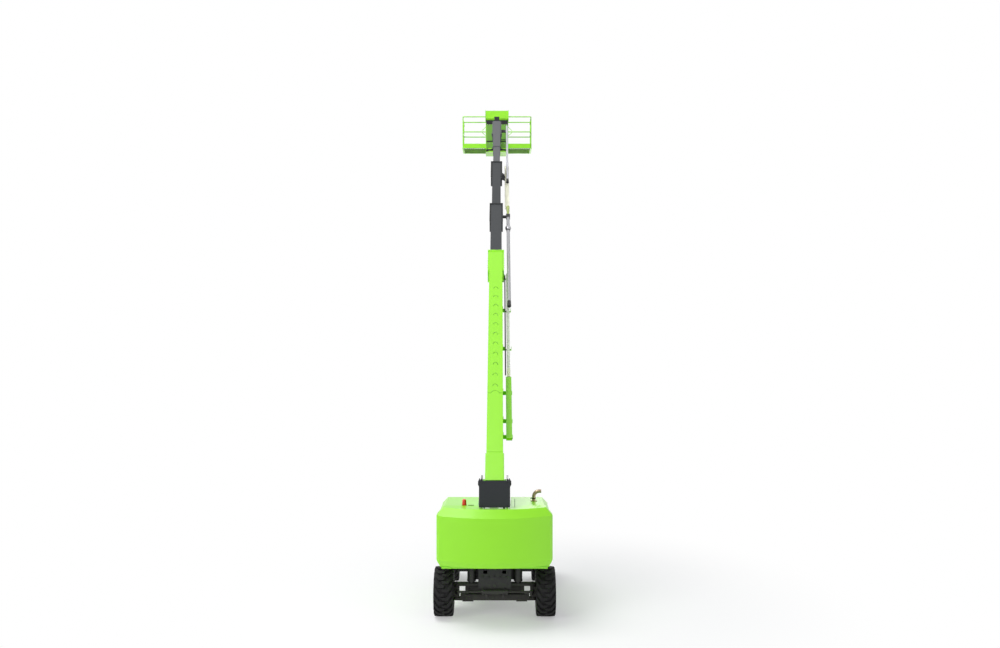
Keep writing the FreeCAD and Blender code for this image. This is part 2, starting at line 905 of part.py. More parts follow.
def counterweight():
    half = S.counterweightHalfWidth
    corner = half - S.cornerFacet
    rear = -S.counterweightRear
    blank = plate(
        "counterweight_blank",
        "Z",
        (S.counterweightBottom, S.counterweightTop),
        [
            (half, -S.counterweightFront),
            (half, -S.cornerStart),
            (corner, -S.cornerEnd),
            (corner, rear - 50),
            (-corner, rear - 50),
            (-corner, -S.cornerEnd),
            (-half, -S.cornerStart),
            (-half, -S.counterweightFront),
        ],
    )
    sagitta = S.counterweightRear - S.cornerEnd
    radius = (corner * corner + sagitta * sagitta) / (2 * sagitta)
    centre = (0, rear + radius)
    low, high = S.counterweightBottom, S.counterweightTop
    wall_low, wall_high = low + S.bottomBevelHeight, high - S.topBevelHeight
    rounded = fuse(
        "counterweight_round",
        round_bar("counterweight_back", "Z", (wall_low, wall_high), centre, radius),
        cone("counterweight_crown", (wall_high, high), centre, (radius, radius - S.topBevel)),
        cone("counterweight_skirt", (low, wall_low), centre, (radius - S.bottomBevel, radius)),
    )
    silhouette = plate(
        "counterweight_silhouette",
        "Y",
        (rear - 50, -S.counterweightFront),
        [
            (half - S.bottomBevel, low),
            (half, wall_low),
            (half, wall_high),
            (half - S.topBevel, high),
            (-(half - S.topBevel), high),
            (-half, wall_high),
            (-half, wall_low),
            (-(half - S.bottomBevel), low),
        ],
    )
    solid = doc.addObject("Part::MultiCommon", "counterweight_solid")
    solid.Shapes = [blank, rounded, silhouette]
    node("counterweight", solid, GROUND)


def hood_outline(inset):
    """A hood's side outline, flat over the engine and falling towards the front."""
    rear, front = -S.hoodRear, S.hoodFront
    return [
        (rear + inset, deck_top),
        (front - inset, deck_top),
        (front - inset, S.hoodNoseTop - inset),
        (-S.hoodFlatEnd, S.hoodTop - S.hoodFall - inset),
        (rear + inset, S.hoodTop - inset),
    ]


def hood_level(y):
    """The height of a hood's nearly level top at a place along the machine."""
    fall = S.hoodFall * (S.hoodRear + y) / (S.hoodRear - S.hoodFlatEnd)
    return S.hoodTop - fall


def hood_solid(name, inset):
    """The hood's outer form, or its inner one, with the outer top edge bevelled."""
    outside = S.hoodOutside - inset
    blank = plate(name + "_blank", "X", (S.hoodInside + inset, outside), hood_outline(inset))
    edge_x = float(outside)
    low = float(deck_top) + 100

    def test(edge):
        box = edge.BoundBox
        on_side = abs(box.XMin - edge_x) < 0.01 and abs(box.XMax - edge_x) < 0.01
        return on_side and box.ZMin > low and box.YLength > 50

    return chamfered(name + "_bevelled", blank, test, S.hoodBevel, S.hoodBevel)




def door_hinge_places():
    """Where the two hinges of a hood door begin, along the machine."""
    return (-S.doorRear + 150, -S.doorFront - 250)


def hinge_brackets(name):
    """The pins that a hood door hangs on, each held between two ears on the hood."""
    x, z = S.hoodOutside + S.hingeOut, S.doorTop + S.hingeUp
    pieces = []
    for index, y in enumerate(door_hinge_places()):
        for end, low in enumerate((y - 12, y + 100)):
            pieces.append(
                block(f"{name}_ear_{index}{end}", (S.hoodOutside - 1, x + 9), (low, low + 12), (z - 6, z + 9))
            )
        pieces.append(
            round_bar(f"{name}_pin_{index}", "Y", (y - 12, y + 112), (x, z), S.hingePinRadius)
        )
    return pieces


def hood(name, side):
    shell = hood_solid(name + "_outer", as_size(0))
    hollow = hood_solid(name + "_inner", S.hoodWall)
    floor_gap = block(
        name + "_floor_gap",
        (S.hoodInside + S.hoodWall, S.hoodOutside - S.hoodWall),
        (-S.hoodRear + S.hoodWall, S.hoodFront - S.hoodWall),
        (deck_top - 1, deck_top + 1),
    )
    doorway = block(
        name + "_doorway",
        (S.hoodOutside - S.hoodWall - 30, S.hoodOutside + 1),
        (-S.doorRear - S.partGap, -S.doorFront + S.partGap),
        (S.doorBottom - S.partGap, S.doorTop + S.partGap),
    )
    walls = cut(name + "_walls", shell, hollow, floor_gap, doorway)
    body = fuse(name + "_body", walls, *hinge_brackets(name))
    thing = body if side > 0 else mirrored(name + "_mirror", body)
    node(name, thing, GROUND)


def hood_door(name, side):
    """A side door hung from its top edge, with a folded rim inside."""
    x1 = S.hoodOutside
    x0 = x1 - S.doorThickness
    skin = block(name + "_skin", (x0, x1), (-S.doorRear, -S.doorFront), (S.doorBottom, S.doorTop))
    handle = block(
        name + "_handle",
        (x1 - 1, x1 + 18),
        (-S.doorRear / 2 - 350, -S.doorRear / 2 - 250),
        (S.doorBottom + 90, S.doorBottom + 125),
    )
    x, z = S.hoodOutside + S.hingeOut, S.doorTop + S.hingeUp
    pieces = [skin, handle]
    bores = []
    for index, y in enumerate(door_hinge_places()):
        along = (y + 0.5, y + 99.5)
        foot = block(f"{name}_foot_{index}", (x1 - 1, x), along, (S.doorTop - 45, S.doorTop - 2))
        strap = block(f"{name}_strap_{index}", (x1 + 1, x + 2), along, (S.doorTop - 45, z - 6))
        barrel = round_bar(f"{name}_barrel_{index}", "Y", along, (x, z), S.hingePinRadius + 4)
        pieces += [foot, strap, barrel]
        bores.append(
            round_bar(
                f"{name}_bore_{index}", "Y", (y, y + 100), (x, z), S.hingePinRadius + S.runningFit
            )
        )
    body = cut(name + "_body", fuse(name + "_solid", *pieces), *bores)
    thing = body if side > 0 else mirrored(name + "_mirror", body)
    node(name, thing, GROUND)


def engine():
    x0 = S.hoodInside + 110
    thing = block(
        "engine",
        (x0, x0 + S.engineWidth),
        (-1500, S.engineLength - 1500),
        (deck_top, deck_top + S.engineHeight),
    )
    foot = block("engine_foot", (x0 + 60, x0 + 200), (-1400, -1300), (deck_top, deck_top + 60))
    node("engine_block", fuse("engine_body", thing, foot), GROUND)


def rear_cover():
    """The dark box panel behind the boom's foot."""
    half = S.coverHalfWidth
    back = -S.pivotSetback - 330
    bottom = S.counterweightTop + 25
    top = S.uprightTop - 30
    panel = block("cover_panel", (-half, half), (back, back + 20), (bottom, top))
    foot = block("cover_foot", (120, 200), (back, back + 20), (S.counterweightTop, bottom + 1))
    wing = block("cover_wing", (half - 15, half), (back, back + 150), (bottom, top))
    post = round_bar("cover_post", "Z", (top - 60, top + 45), (half - 12, back + 10), 9)
    spacer = block(
        "cover_spacer",
        (S.uprightInside + S.uprightThickness, half - 14),
        (back + 60, back + 130),
        (bottom + 100, top - 100),
    )
    side = fuse("cover_side", wing, post, spacer, foot)
    node("rear_cover", fuse("cover_body", panel, both_sides("cover_sides", side)), GROUND)


def beacon():
    x, y = -595, -1780
    base_z = hood_level(y - 55)
    base = round_bar("beacon_base", "Z", (base_z, base_z + 35), (x, y), 55)
    dome = cone("beacon_dome", (base_z + 34, base_z + 97), (x, y), (50, 46))
    cap = doc.addObject("Part::Sphere", "beacon_cap")
    bind(cap, "Radius", 46)
    put(cap, (as_size(x), as_size(y), base_z + 97))
    node("beacon", fuse("beacon_body", base, dome, cap), GROUND)


def exhaust():
    """A flanged stub on the right hood whose pipe bends outwards."""
    x, y = 790, -1160
    radius = as_size(36)
    bend = as_size(110)
    base_z = hood_level(y - 60)
    stub = round_bar("exhaust_stub", "Z", (base_z, base_z + 90), (x, y), radius)
    flange = round_bar("exhaust_flange", "Z", (base_z, base_z + 16), (x, y), 60)
    elbow = doc.addObject("Part::Torus", "exhaust_elbow")
    bind(elbow, "Radius1", bend)
    bind(elbow, "Radius2", radius)
    elbow.Angle3 = 90
    upright_turn = Rotation(Vector(1, 0, 0), 90) * Rotation(Vector(0, 0, 1), 90)
    put(elbow, (x + bend, as_size(y), base_z + 90), upright_turn)
    tip = round_bar("exhaust_tip", "X", (x + bend, x + bend + 40), (y, base_z + 90 + bend), radius)
    node("exhaust_pipe", fuse("exhaust_body", stub, flange, elbow, tip), GROUND)


# ---------------------------------------------------------------- boom


def pads_inside(name, head, outer_half, section_half):
    """Wear pads in a section's mouth that guide the next section."""
    along = (head - S.padLength, head - 10)
    (outer_x, outer_z), (inner_x, inner_z) = outer_half, section_half
    gap = S.padGap
    side = block(
        name + "_side_pad", (inner_x + gap, outer_x + 1), along, (-inner_z * 0.7, inner_z * 0.7)
    )
    top = block(
        name + "_top_pad", (-inner_x * 0.7, inner_x * 0.7), along, (inner_z + gap, outer_z + 1)
    )
    low = block(
        name + "_low_pad", (-inner_x * 0.7, inner_x * 0.7), along, (-outer_z - 1, -inner_z - gap)
    )
    return [side, mirrored(name + "_side_pad_image", side), top, low]


def tail_pads(name, tail, own_half, outer_half):
    """Wear pads on a section's tail that run inside the section around it."""
    along = (tail, tail + S.padLength)
    (own_x, own_z), (outer_x, outer_z) = own_half, outer_half
    gap = S.padGap
    side = block(name + "_tail_side", (own_x - 1, outer_x - gap), along, (-own_z * 0.7, own_z * 0.7))
    top = block(name + "_tail_top", (-own_x * 0.7, own_x * 0.7), along, (own_z - 1, outer_z - gap))
    low = block(name + "_tail_low", (-own_x * 0.7, own_x * 0.7), along, (-outer_z + gap, -own_z + 1))
    return [side, mirrored(name + "_tail_side_image", side), top, low]


base_inside = (S.baseHalfWidth - S.baseWall, S.baseHalfHeight - S.baseWall)
second_half = (S.secondHalfWidth, S.secondHalfHeight)
second_inside = (S.secondHalfWidth - S.secondWall, S.secondHalfHeight - S.secondWall)
third_half = (S.thirdHalfWidth, S.thirdHalfHeight)
third_inside = (S.thirdHalfWidth - S.thirdWall, S.thirdHalfHeight - S.thirdWall)
fly_half = (S.flyHalfWidth, S.flyHalfHeight)
fly_sleeve_start = S.flyHead - S.flySleeveLength
fly_cheek_start = S.flyHead - S.flyCheekLength


def collar(name, head, length, half_width, own_half):
    """The stiffened head of a boom section: side plates and a flange round its mouth."""
    own_x, own_z = own_half
    cheek = plate(
        name + "_cheek",
        "X",
        (own_x - 1, half_width),
        [
            (head - length + 60, -own_z + 10),
            (head - 2, -own_z + 10),
            (head - 2, own_z - 8),
            (head - length, own_z - 8),
            (head - length, -own_z + 70),
        ],
    )
    flange = block(
        name + "_flange",
        (-half_width - 3, half_width + 3),
        (head - S.rimFlange, head),
        (-own_z - 30, own_z + 14),
    )
    mouth = block(
        name + "_mouth",
        (-own_x + 3, own_x - 3),
        (head - S.rimFlange - 1, head + 1),
        (-own_z + 3, own_z - 3),
    )
    return [both_sides(name + "_cheeks", cheek), cut(name + "_rim", flange, mouth)]


def base_boom():
    tube = box_tube("base", (-S.baseTail, S.baseHead), S.baseHalfWidth, S.baseHalfHeight, S.baseWall)
    doubler = block(
        "foot_doubler",
        (S.baseHalfWidth - 1, S.footHalfWidth),
        (-S.baseTail, S.footDoublerLength),
        (-S.baseHalfHeight + 15, S.baseHalfHeight - 5),
    )
    boss = round_bar("foot_boss", "X", (-S.uprightInside + 5, S.uprightInside - 5), (0, 0), 75)
    bore = round_bar(
        "foot_bore", "X", (-S.uprightInside - 1, S.uprightInside + 1), (0, 0), S.pivotPinRadius + S.runningFit
    )
    lift_cheek = plate(
        "lift_cheek",
        "X",
        (S.liftCheekInside, S.liftCheekInside + S.liftCheekThickness),
        [
            (S.liftEyeStation - 260, -S.baseHalfHeight + 1),
            (S.liftEyeStation - 65, -S.liftEyeDrop - 60),
            (S.liftEyeStation + 65, -S.liftEyeDrop - 60),
            (S.liftEyeStation + 260, -S.baseHalfHeight + 1),
        ],
    )
    lift_boss = round_bar(
        "lift_cheek_boss",
        "X",
        (S.liftCheekInside + 1, S.liftCheekInside + S.liftCheekThickness + 20),
        (S.liftEyeStation, -S.liftEyeDrop),
        55,
    )
    cheeks = both_sides("lift_cheeks", fuse("lift_cheek_side", lift_cheek, lift_boss))
    whole = fuse(
        "base_whole",
        tube,
        both_sides("foot_doublers", doubler),
        boss,
        cheeks,
        *collar(
            "base_collar",
            S.baseHead,
            S.baseCollarLength,
            S.baseCollarHalfWidth,
            (S.baseHalfWidth, S.baseHalfHeight),
        ),
        *pads_inside("base", S.baseHead, base_inside, second_half),
    )
    node("base_boom", cut("base_boom_body", whole, bore), BOOM)


def second_section():
    thing = fuse(
        "second_body",
        box_tube("second", (S.secondTail, S.secondHead), S.secondHalfWidth, S.secondHalfHeight, S.secondWall),
        *collar("second_collar", S.secondHead, S.secondCollarLength, S.secondCollarHalfWidth, second_half),
        *pads_inside("second", S.secondHead, second_inside, third_half),
        *tail_pads("second", S.secondTail, second_half, base_inside),
    )
    node("boom_section_2", thing, BOOM)


def third_section():
    thing = fuse(
        "third_body",
        box_tube("third", (S.thirdTail, S.thirdHead), S.thirdHalfWidth, S.thirdHalfHeight, S.thirdWall),
        *collar("third_collar", S.thirdHead, S.thirdCollarLength, S.thirdCollarHalfWidth, third_half),
        *pads_inside("third", S.thirdHead, third_inside, fly_half),
        *tail_pads("third", S.thirdTail, third_half, second_inside),
    )
    node("boom_section_3", thing, BOOM)


def fly_section():
    """The last section, whose sleeved head holds the jib's base between two cheeks."""
    sleeve_bore = S.flyHalfWidth - S.flyWall, S.flyHalfHeight - S.flyWall
    sleeve = cut(
        "fly_sleeve",
        block(
            "fly_sleeve_outer",
            (-S.flySleeveHalfWidth, S.flySleeveHalfWidth),
            (fly_sleeve_start, S.flyHead),
            (-S.flySleeveHalfHeight, S.flySleeveHalfHeight),
        ),
        block(
            "fly_sleeve_bore",
            (-sleeve_bore[0], sleeve_bore[0]),
            (fly_sleeve_start - 1, S.flyHead + 1),
            (-sleeve_bore[1], sleeve_bore[1]),
        ),
    )
    pin_y, pin_z = jib_pin_station, -S.jibBasePinDrop
    outside = S.flySleeveHalfWidth + S.flyCheekThickness
    cheek = plate(
        "fly_cheek",
        "X",
        (S.flySleeveHalfWidth - 1, outside),
        [
            (fly_cheek_start, -S.flySleeveHalfHeight + 40),
            (pin_y - 90, pin_z - 40),
            (pin_y - 30, pin_z - 85),
            (pin_y + 50, pin_z - 85),
            (pin_y + 90, pin_z - 30),
            (S.flyHead - 5, -60),
            (S.flyHead - 5, S.flySleeveHalfHeight - 15),
            (fly_cheek_start, S.flySleeveHalfHeight - 15),
        ],
    )
    head_boss = round_bar("fly_head_boss", "X", (outside - 1, outside + 25), (fly_cheek_start + 150, 60), 45)
    low_boss = round_bar(
        "fly_low_boss",
        "X",
        (S.flySleeveHalfWidth - 1, S.flySleeveHalfWidth + 28),
        (fly_sleeve_start + 80, 60),
        32,
    )
    pin_boss = round_bar("jib_base_boss", "X", (outside - 1, outside + 20), (pin_y, pin_z), 55)
    sides = both_sides("fly_sides", fuse("fly_side", cheek, head_boss, low_boss, pin_boss))
    pin = round_bar("jib_base_pin", "X", (-outside - 25, outside + 25), (pin_y, pin_z), S.linkPinRadius)
    level_y = pin_y - S.levelPinSetback
    level_z = pin_z - S.levelPinDrop
    lug = plate(
        "level_lug",
        "X",
        (40, 55),
        [
            (level_y - 70, -S.flySleeveHalfHeight + 1),
            (level_y - 45, level_z - 40),
            (level_y + 45, level_z - 40),
            (level_y + 130, -S.flySleeveHalfHeight + 1),
        ],
    )
    level_pin = round_bar("level_pin", "X", (-70, 70), (level_y, level_z), S.linkPinRadius)
    thing = fuse(
        "fly_body",
        box_tube("fly", (S.flyTail, S.flyHead), S.flyHalfWidth, S.flyHalfHeight, S.flyWall),
        sleeve,
        sides,
        pin,
        both_sides("level_lugs", lug),
        level_pin,
        *tail_pads("fly", S.flyTail, fly_half, third_inside),
    )
    node("fly_boom", thing, BOOM)


# ---------------------------------------------------------------- hose carrier

# Heights above the boom's axis at which the carrier's layers lie beside the boom


def hose_tray():
    """The tray on the base boom: a covered end, an inner rail and arms under the chain."""
    inside, outside = S.carrierInside, S.carrierOutside
    axis = S.carrierAxis
    low = S.chainFloor
    cover = cut(
        "tray_cover",
        block(
            "tray_cover_outer",
            (inside, outside),
            (S.trayStart, S.trayCoverEnd),
            (low - 8, S.chainTop + 12),
        ),
        block(
            "tray_cover_bore",
            (inside + 6, outside - 6),
            (S.trayStart + 6, S.trayCoverEnd + 1),
            (low, S.chainTop + 6),
        ),
    )
    rail = block("tray_rail", (inside, inside + 6), (S.trayStart, S.trayEnd), (low - 8, S.chainTop + 12))
    pieces = [cover, rail]
    stations = [0.01, 0.09, 0.24, 0.50, 0.75, 0.985]
    length = S.trayEnd - S.trayStart
    for index, share in enumerate(stations):
        y = S.trayStart + length * share
        on_collar = float(y) > float(S.baseHead - S.baseCollarLength) - 60
        side = S.baseCollarHalfWidth if on_collar else S.baseHalfWidth
        arm = block(
            f"tray_arm_{index}",
            (side, outside + 12),
            (y, y + 40),
            (low - 26, low - 7),
        )
        tab = block(
            f"tray_tab_{index}", (outside + 2, outside + 12), (y, y + 40), (low - 8, S.chainTop + 10)
        )
        root = block(
            f"tray_root_{index}",
            (side, side + 12),
            (y - 20, y + 60),
            (low + 10, S.chainTop + 60),
        )
        web = block(
            f"tray_web_{index}",
            (side, inside + 1),
            (y + 12, y + 28),
            (low - 20, S.chainTop + 12),
        )
        pieces += [arm, tab, root, web]
    node("hose_tray", fuse("hose_tray_body", *pieces), BOOM)


def chain_gaps(name, across, along, top, links):
    """The gaps between a chain's links, seen along its top edge."""
    pitch = (along[1] - along[0]) / links
    gaps = []
    for index in range(1, int(float(links))):
        start = along[0] + pitch * index
        gaps.append(
            block(
                f"{name}_gap_{index}",
                (across[0] - 1, across[1] + 1),
                (start, start + S.linkGap),
                (top - S.linkGapDepth, top + 1),
            )
        )
    return gaps


def lower_chain():
    """The energy chain that lies in the base boom's tray."""
    half = S.chainHalfWidth
    x = (S.carrierInside + S.carrierOutside) / 2
    across = (x - half, x + half)
    low = S.chainFloor - 7
    start, end = S.trayCoverEnd + 5, S.trayEnd + 60
    run = block("lower_chain_run", across, (start, end), (low, S.chainTop))
    bend = flat_bar(
        "lower_chain_end",
        across,
        (end, (low + S.chainTop) / 2),
        (S.chainTop - low) / 2,
        S.chainEndSides,
    )
    body = fuse("lower_chain_body", run, bend)
    gaps = chain_gaps("lower_chain", across, (start, end), S.chainTop, S.lowerChainLinks)
    node("lower_energy_chain", cut("lower_chain", body, *gaps), BOOM)


def lower_tube():
    """The carrier tube held beside the second section."""
    x, z = S.carrierAxis, S.lowerTubeLevel
    head = S.secondHead
    tube = round_bar("lower_tube_run", "Y", (head - S.lowerTubeLength, head - 420), (x, z), S.lowerTubeRadius)
    flange = round_bar("lower_tube_flange", "Y", (head - 1080, head - 1050), (x, z), S.lowerTubeRadius + 30)
    arm = block(
        "lower_tube_arm",
        (S.secondCollarHalfWidth, x),
        (head - 520, head - 440),
        (z - 20, z + 20),
    )
    clamp = block(
        "lower_tube_clamp",
        (x - 55, x + 55),
        (head - 540, head - 420),
        (z - 42, z + 55),
    )
    node("lower_hose_tube", fuse("lower_tube_body", tube, flange, arm, clamp), BOOM)


def upper_chain():
    """The chain between the third section's bracket and the second section's tube."""
    half = S.chainHalfWidth
    x = S.carrierAxis - 30
    across = (x - half, x + half)
    head = S.thirdHead
    start = head - S.upperChainLength
    run = block("upper_chain_run", across, (start, head + 200), (S.stripBottom, S.stripTop))
    arm = block(
        "upper_chain_arm",
        (S.thirdCollarHalfWidth, x - half + 1),
        (head - 520, head - 300),
        (S.stripBottom, S.stripTop),
    )
    body = fuse("upper_chain_body", run, arm)
    gaps = chain_gaps("upper_chain", across, (start, head + 200), S.stripTop, S.upperChainLinks)
    node("upper_energy_chain", cut("upper_chain", body, *gaps), BOOM)


def upper_tube():
    """The carrier tube that the fly section's head pushes and pulls."""
    x, z = S.carrierAxis, S.upperTubeLevel
    head = S.flyHead
    tube = round_bar("upper_tube_run", "Y", (head - S.upperTubeLength, head + 50), (x, z), S.upperTubeRadius)
    arm = block(
        "upper_tube_arm",
        (S.flySleeveHalfWidth + S.flyCheekThickness, x - 10),
        (head - 380, head - 250),
        (z - 15, z + 15),
    )
    node("upper_hose_tube", fuse("upper_tube_body", tube, arm), BOOM)


# ---------------------------------------------------------------- cylinders


def cylinder_frame(start, end):
    """A frame at the barrel's pin whose Y axis points at the rod's eye, and the pins' distance."""
    dy = float(end[1]) - float(start[1])
    dz = float(end[2]) - float(start[2])
    angle = math.degrees(math.atan2(dz, dy))
    return Frame(start, Size(angle, repr(angle))), math.hypot(dy, dz)


def barrel_node(name, frame, pin_radius, eye_half, radius, length, bore):
    """A cylinder's barrel with the eye it turns on."""
    eye = round_bar(name + "_eye", "X", (-eye_half, eye_half), (0, 0), radius * 0.85)
    tube = round_bar(name + "_tube", "Y", (radius * 0.5, length), (0, 0), radius)
    gland = round_bar(name + "_gland", "Y", (length - 60, length), (0, 0), radius + 6)
    hole = round_bar(name + "_hole", "X", (-radius * 2, radius * 2), (0, 0), pin_radius + S.runningFit)
    chamber = round_bar(name + "_chamber", "Y", (radius * 1.3, length + 1), (0, 0), bore)
    node(name, cut(name + "_body", fuse(name + "_solid", eye, tube, gland), hole, chamber), frame)


def rod_node(name, frame, reach, rod_length, radius, eye_radius, eye_half):
    """A cylinder's rod with its eye, standing out of its barrel by its reach."""
    rod = round_bar(name + "_bar", "Y", (reach - rod_length, reach - 5), (0, 0), radius)
    eye = round_bar(name + "_eye", "X", (-eye_half, eye_half), (reach, 0), eye_radius)
    node(name, fuse(name + "_body", rod, eye), frame)


def lift_cylinder():
    start = GROUND.point(-S.liftPinSetback, S.liftPinHeight)
    end = BOOM.point(S.liftEyeStation, -S.liftEyeDrop)
    frame, reach = cylinder_frame(start, end)
    bore = S.liftRodRadius + S.runningFit
    barrel_node("lift_cylinder", frame, S.liftPinRadius, 65, S.liftBarrelRadius, S.liftBarrelLength, bore)
    rod_node("lift_rod", frame, reach, S.liftRodLength, S.liftRodRadius, S.liftEyeRadius, 65)


def level_cylinder():
    start = BOOM.point(
        jib_pin_station - S.levelPinSetback, -S.jibBasePinDrop - S.levelPinDrop
    )
    end = JIB_BASE.point(S.levelArmAlong, -S.levelArmDrop)
    frame, reach = cylinder_frame(start, end)
    bore = S.linkRodRadius + S.runningFit
    barrel_node("level_cylinder", frame, S.linkPinRadius, 30, S.levelBarrelRadius, S.levelBarrelLength, bore)
    rod_node("level_rod", frame, reach, S.levelRodLength, S.linkRodRadius, as_size(34), 28)


def jib_cylinder():
    start = JIB_BASE.point(S.jibCylinderAhead, -S.jibCylinderDrop)
    end = JIB.point(S.jibEyeStation, -S.jibEyeDrop)
    frame, reach = cylinder_frame(start, end)
    bore = S.linkRodRadius + S.runningFit
    barrel_node("jib_cylinder", frame, S.linkPinRadius, 28, S.jibBarrelRadius, S.jibBarrelLength, bore)
    rod_node("jib_rod", frame, reach, S.jibRodLength, S.linkRodRadius, as_size(27), 22)


# ---------------------------------------------------------------- jib and platform


def jib_base():
    """The casting that the level cylinder keeps upright at the boom's head."""
    ahead_pin, rise = S.jibPinAhead, S.jibPinRise
    cheek = plate(
        "jib_base_cheek",
        "X",
        (62, 82),
        [
            (-60, -45),
            (S.levelArmAlong - 45, -S.levelArmDrop - 40),
            (S.levelArmAlong + 50, -S.levelArmDrop - 40),
            (S.jibCylinderAhead + 30, -S.jibCylinderDrop - 45),
            (ahead_pin + 50, rise - 60),
            (ahead_pin + 50, rise + S.linkSpacing + 40),
            (ahead_pin - 110, S.jibBaseTop),
            (ahead_pin - 190, S.jibBaseTop),
            (ahead_pin - 190, 60),
            (-20, 55),
            (-60, 20),
        ],
    )
    hub = round_bar("jib_base_hub", "X", (-105, 105), (0, 0), 52)
    hub_hole = round_bar("jib_base_hole", "X", (-106, 106), (0, 0), S.linkPinRadius + S.runningFit)
    web = block("jib_base_web", (-63, 63), (ahead_pin - 190, ahead_pin - 165), (60, S.jibBaseTop))
    cap = block(
        "jib_base_cap", (-82, 82), (ahead_pin - 190, ahead_pin - 110), (S.jibBaseTop - 15, S.jibBaseTop)
    )
    arm_pin = round_bar("jib_pin", "X", (46, 100), (ahead_pin, rise), S.linkPinRadius)
    pins = [
        round_bar("level_eye_pin", "X", (-95, 95), (S.levelArmAlong, -S.levelArmDrop), 14),
        round_bar(
            "jib_cylinder_pin", "X", (-95, 95), (S.jibCylinderAhead, -S.jibCylinderDrop), S.linkPinRadius
        ),
        both_sides("jib_pins", arm_pin),
        round_bar("link_pin", "X", (-100, 100), (ahead_pin, rise + S.linkSpacing), S.linkPinRadius),
    ]
    level_gap = round_bar("level_eye_gap", "X", (-62, 62), (S.levelArmAlong, -S.levelArmDrop), 15)
    body = fuse(
        "jib_base_solid",
        both_sides("jib_base_cheeks", cheek),
        hub,
        web,
        cap,
        *pins,
    )
    node("jib_base", cut("jib_base_body", body, hub_hole, level_gap), JIB_BASE)


def jib_arm():
    """The jib's lower arm: two plates round the jib cylinder, closed to a box beyond its rod's eye."""
    length = S.jibLength
    half = S.jibHalfHeight
    inside, outside = S.jibHalfWidth - S.jibPlateThickness, S.jibHalfWidth
    side = block("jib_plate", (inside, outside), (0, length), (-half, half))
    near_end = round_bar("jib_near_end", "X", (inside, outside), (0, 0), half)
    eye_boss = round_bar("jib_eye_boss", "X", (26, inside + 1), (S.jibEyeStation, -S.jibEyeDrop), 28)
    box = cut(
        "jib_box",
        block("jib_box_outer", (-outside, outside), (S.jibBoxStart, length), (-half, half)),
        block(
            "jib_box_inside",
            (-inside, inside),
            (S.jibBoxStart + 10, length - half - 10),
            (-half + 10, half - 10),
        ),
    )
    far_end = round_bar("jib_far_end", "X", (-outside, outside), (length, 0), half)
    holes = [
        round_bar(f"jib_hole_{i}", "X", (-outside - 1, outside + 1), (y, 0), S.linkPinRadius + S.runningFit)
        for i, y in enumerate((0, length))
    ]
    sides = both_sides("jib_sides", fuse("jib_side", side, near_end, eye_boss))
    node("jib_arm", cut("jib_arm_body", fuse("jib_arm_solid", sides, box, far_end), *holes), JIB)


def jib_link():
    """The upper link that keeps the platform's support upright."""
    z = S.linkSpacing
    length = S.jibLength
    bar = round_bar("link_bar", "Y", (30, length - 30), (0, z), 26)
    ends = [round_bar(f"link_end_{i}", "X", (-45, 45), (y, z), 36) for i, y in enumerate((0, length))]
    holes = [
        round_bar(f"link_hole_{i}", "X", (-50, 50), (y, z), S.linkPinRadius + S.runningFit)
        for i, y in enumerate((0, length))
    ]
    node("jib_link", cut("jib_link_body", fuse("jib_link_solid", bar, *ends), *holes), JIB)


def platform_support():
    """The casting at the jib's end that carries the platform's rotator."""
    top = S.linkSpacing
    cheek = plate(
        "support_cheek",
        "X",
        (62, 80),
        [(-45, -45), (S.rotatorAhead - 75, -70), (S.rotatorAhead - 75, top + 70), (-45, top + 45)],
    )
    web = block("support_web", (-63, 63), (S.rotatorAhead - 100, S.rotatorAhead - 75), (-70, top + 70))
    pins = [
        round_bar("support_pin", "X", (-95, 95), (0, 0), S.linkPinRadius),
        round_bar("support_link_pin", "X", (-95, 95), (0, top), S.linkPinRadius),
    ]
    ears = [
        block(f"support_ear_{i}", (-80, 80), (S.rotatorAhead - 101, S.rotatorAhead), (low, low + 25))
        for i, low in enumerate((-70, top + 45))
    ]
    rounds = [
        round_bar(f"support_round_{i}", "Z", (low, low + 25), (0, S.rotatorAhead), 80)
        for i, low in enumerate((-70, top + 45))
    ]
    spindle = round_bar("support_spindle", "Z", (-70, top + 85), (0, S.rotatorAhead), 35)
    thing = fuse("support_body", both_sides("support_cheeks", cheek), web, *pins, *ears, *rounds, spindle)
    node("platform_support", thing, SUPPORT)


def platform_bracket():
    """The rotator's sleeve and the plates that carry the platform from its near side."""
    low = S.floorDrop - 70 + 25 + 0.3
    high = S.floorDrop + S.linkSpacing + 45 - 0.3
    near = S.platformAhead
    sleeve = round_bar("rotator_sleeve", "Z", (low, high), (0, 0), S.rotatorRadius)
    neck = block("rotator_neck", (-70, 70), (40, near - 20), (low + 10, high - 10))
    face = block("bracket_face", (-325, 325), (near - 21, near - 1), (-110, S.consoleBottom))
    under = block("bracket_under", (-400, 400), (near - 21, near + S.platformDepth - 60), (-110, -2))
    bore = round_bar("rotator_bore", "Z", (low - 1, high + 1), (0, 0), 35.05)
    body = cut("bracket_body", fuse("bracket_solid", sleeve, neck, face, under), bore)
    node("platform_bracket", body, PLATFORM)


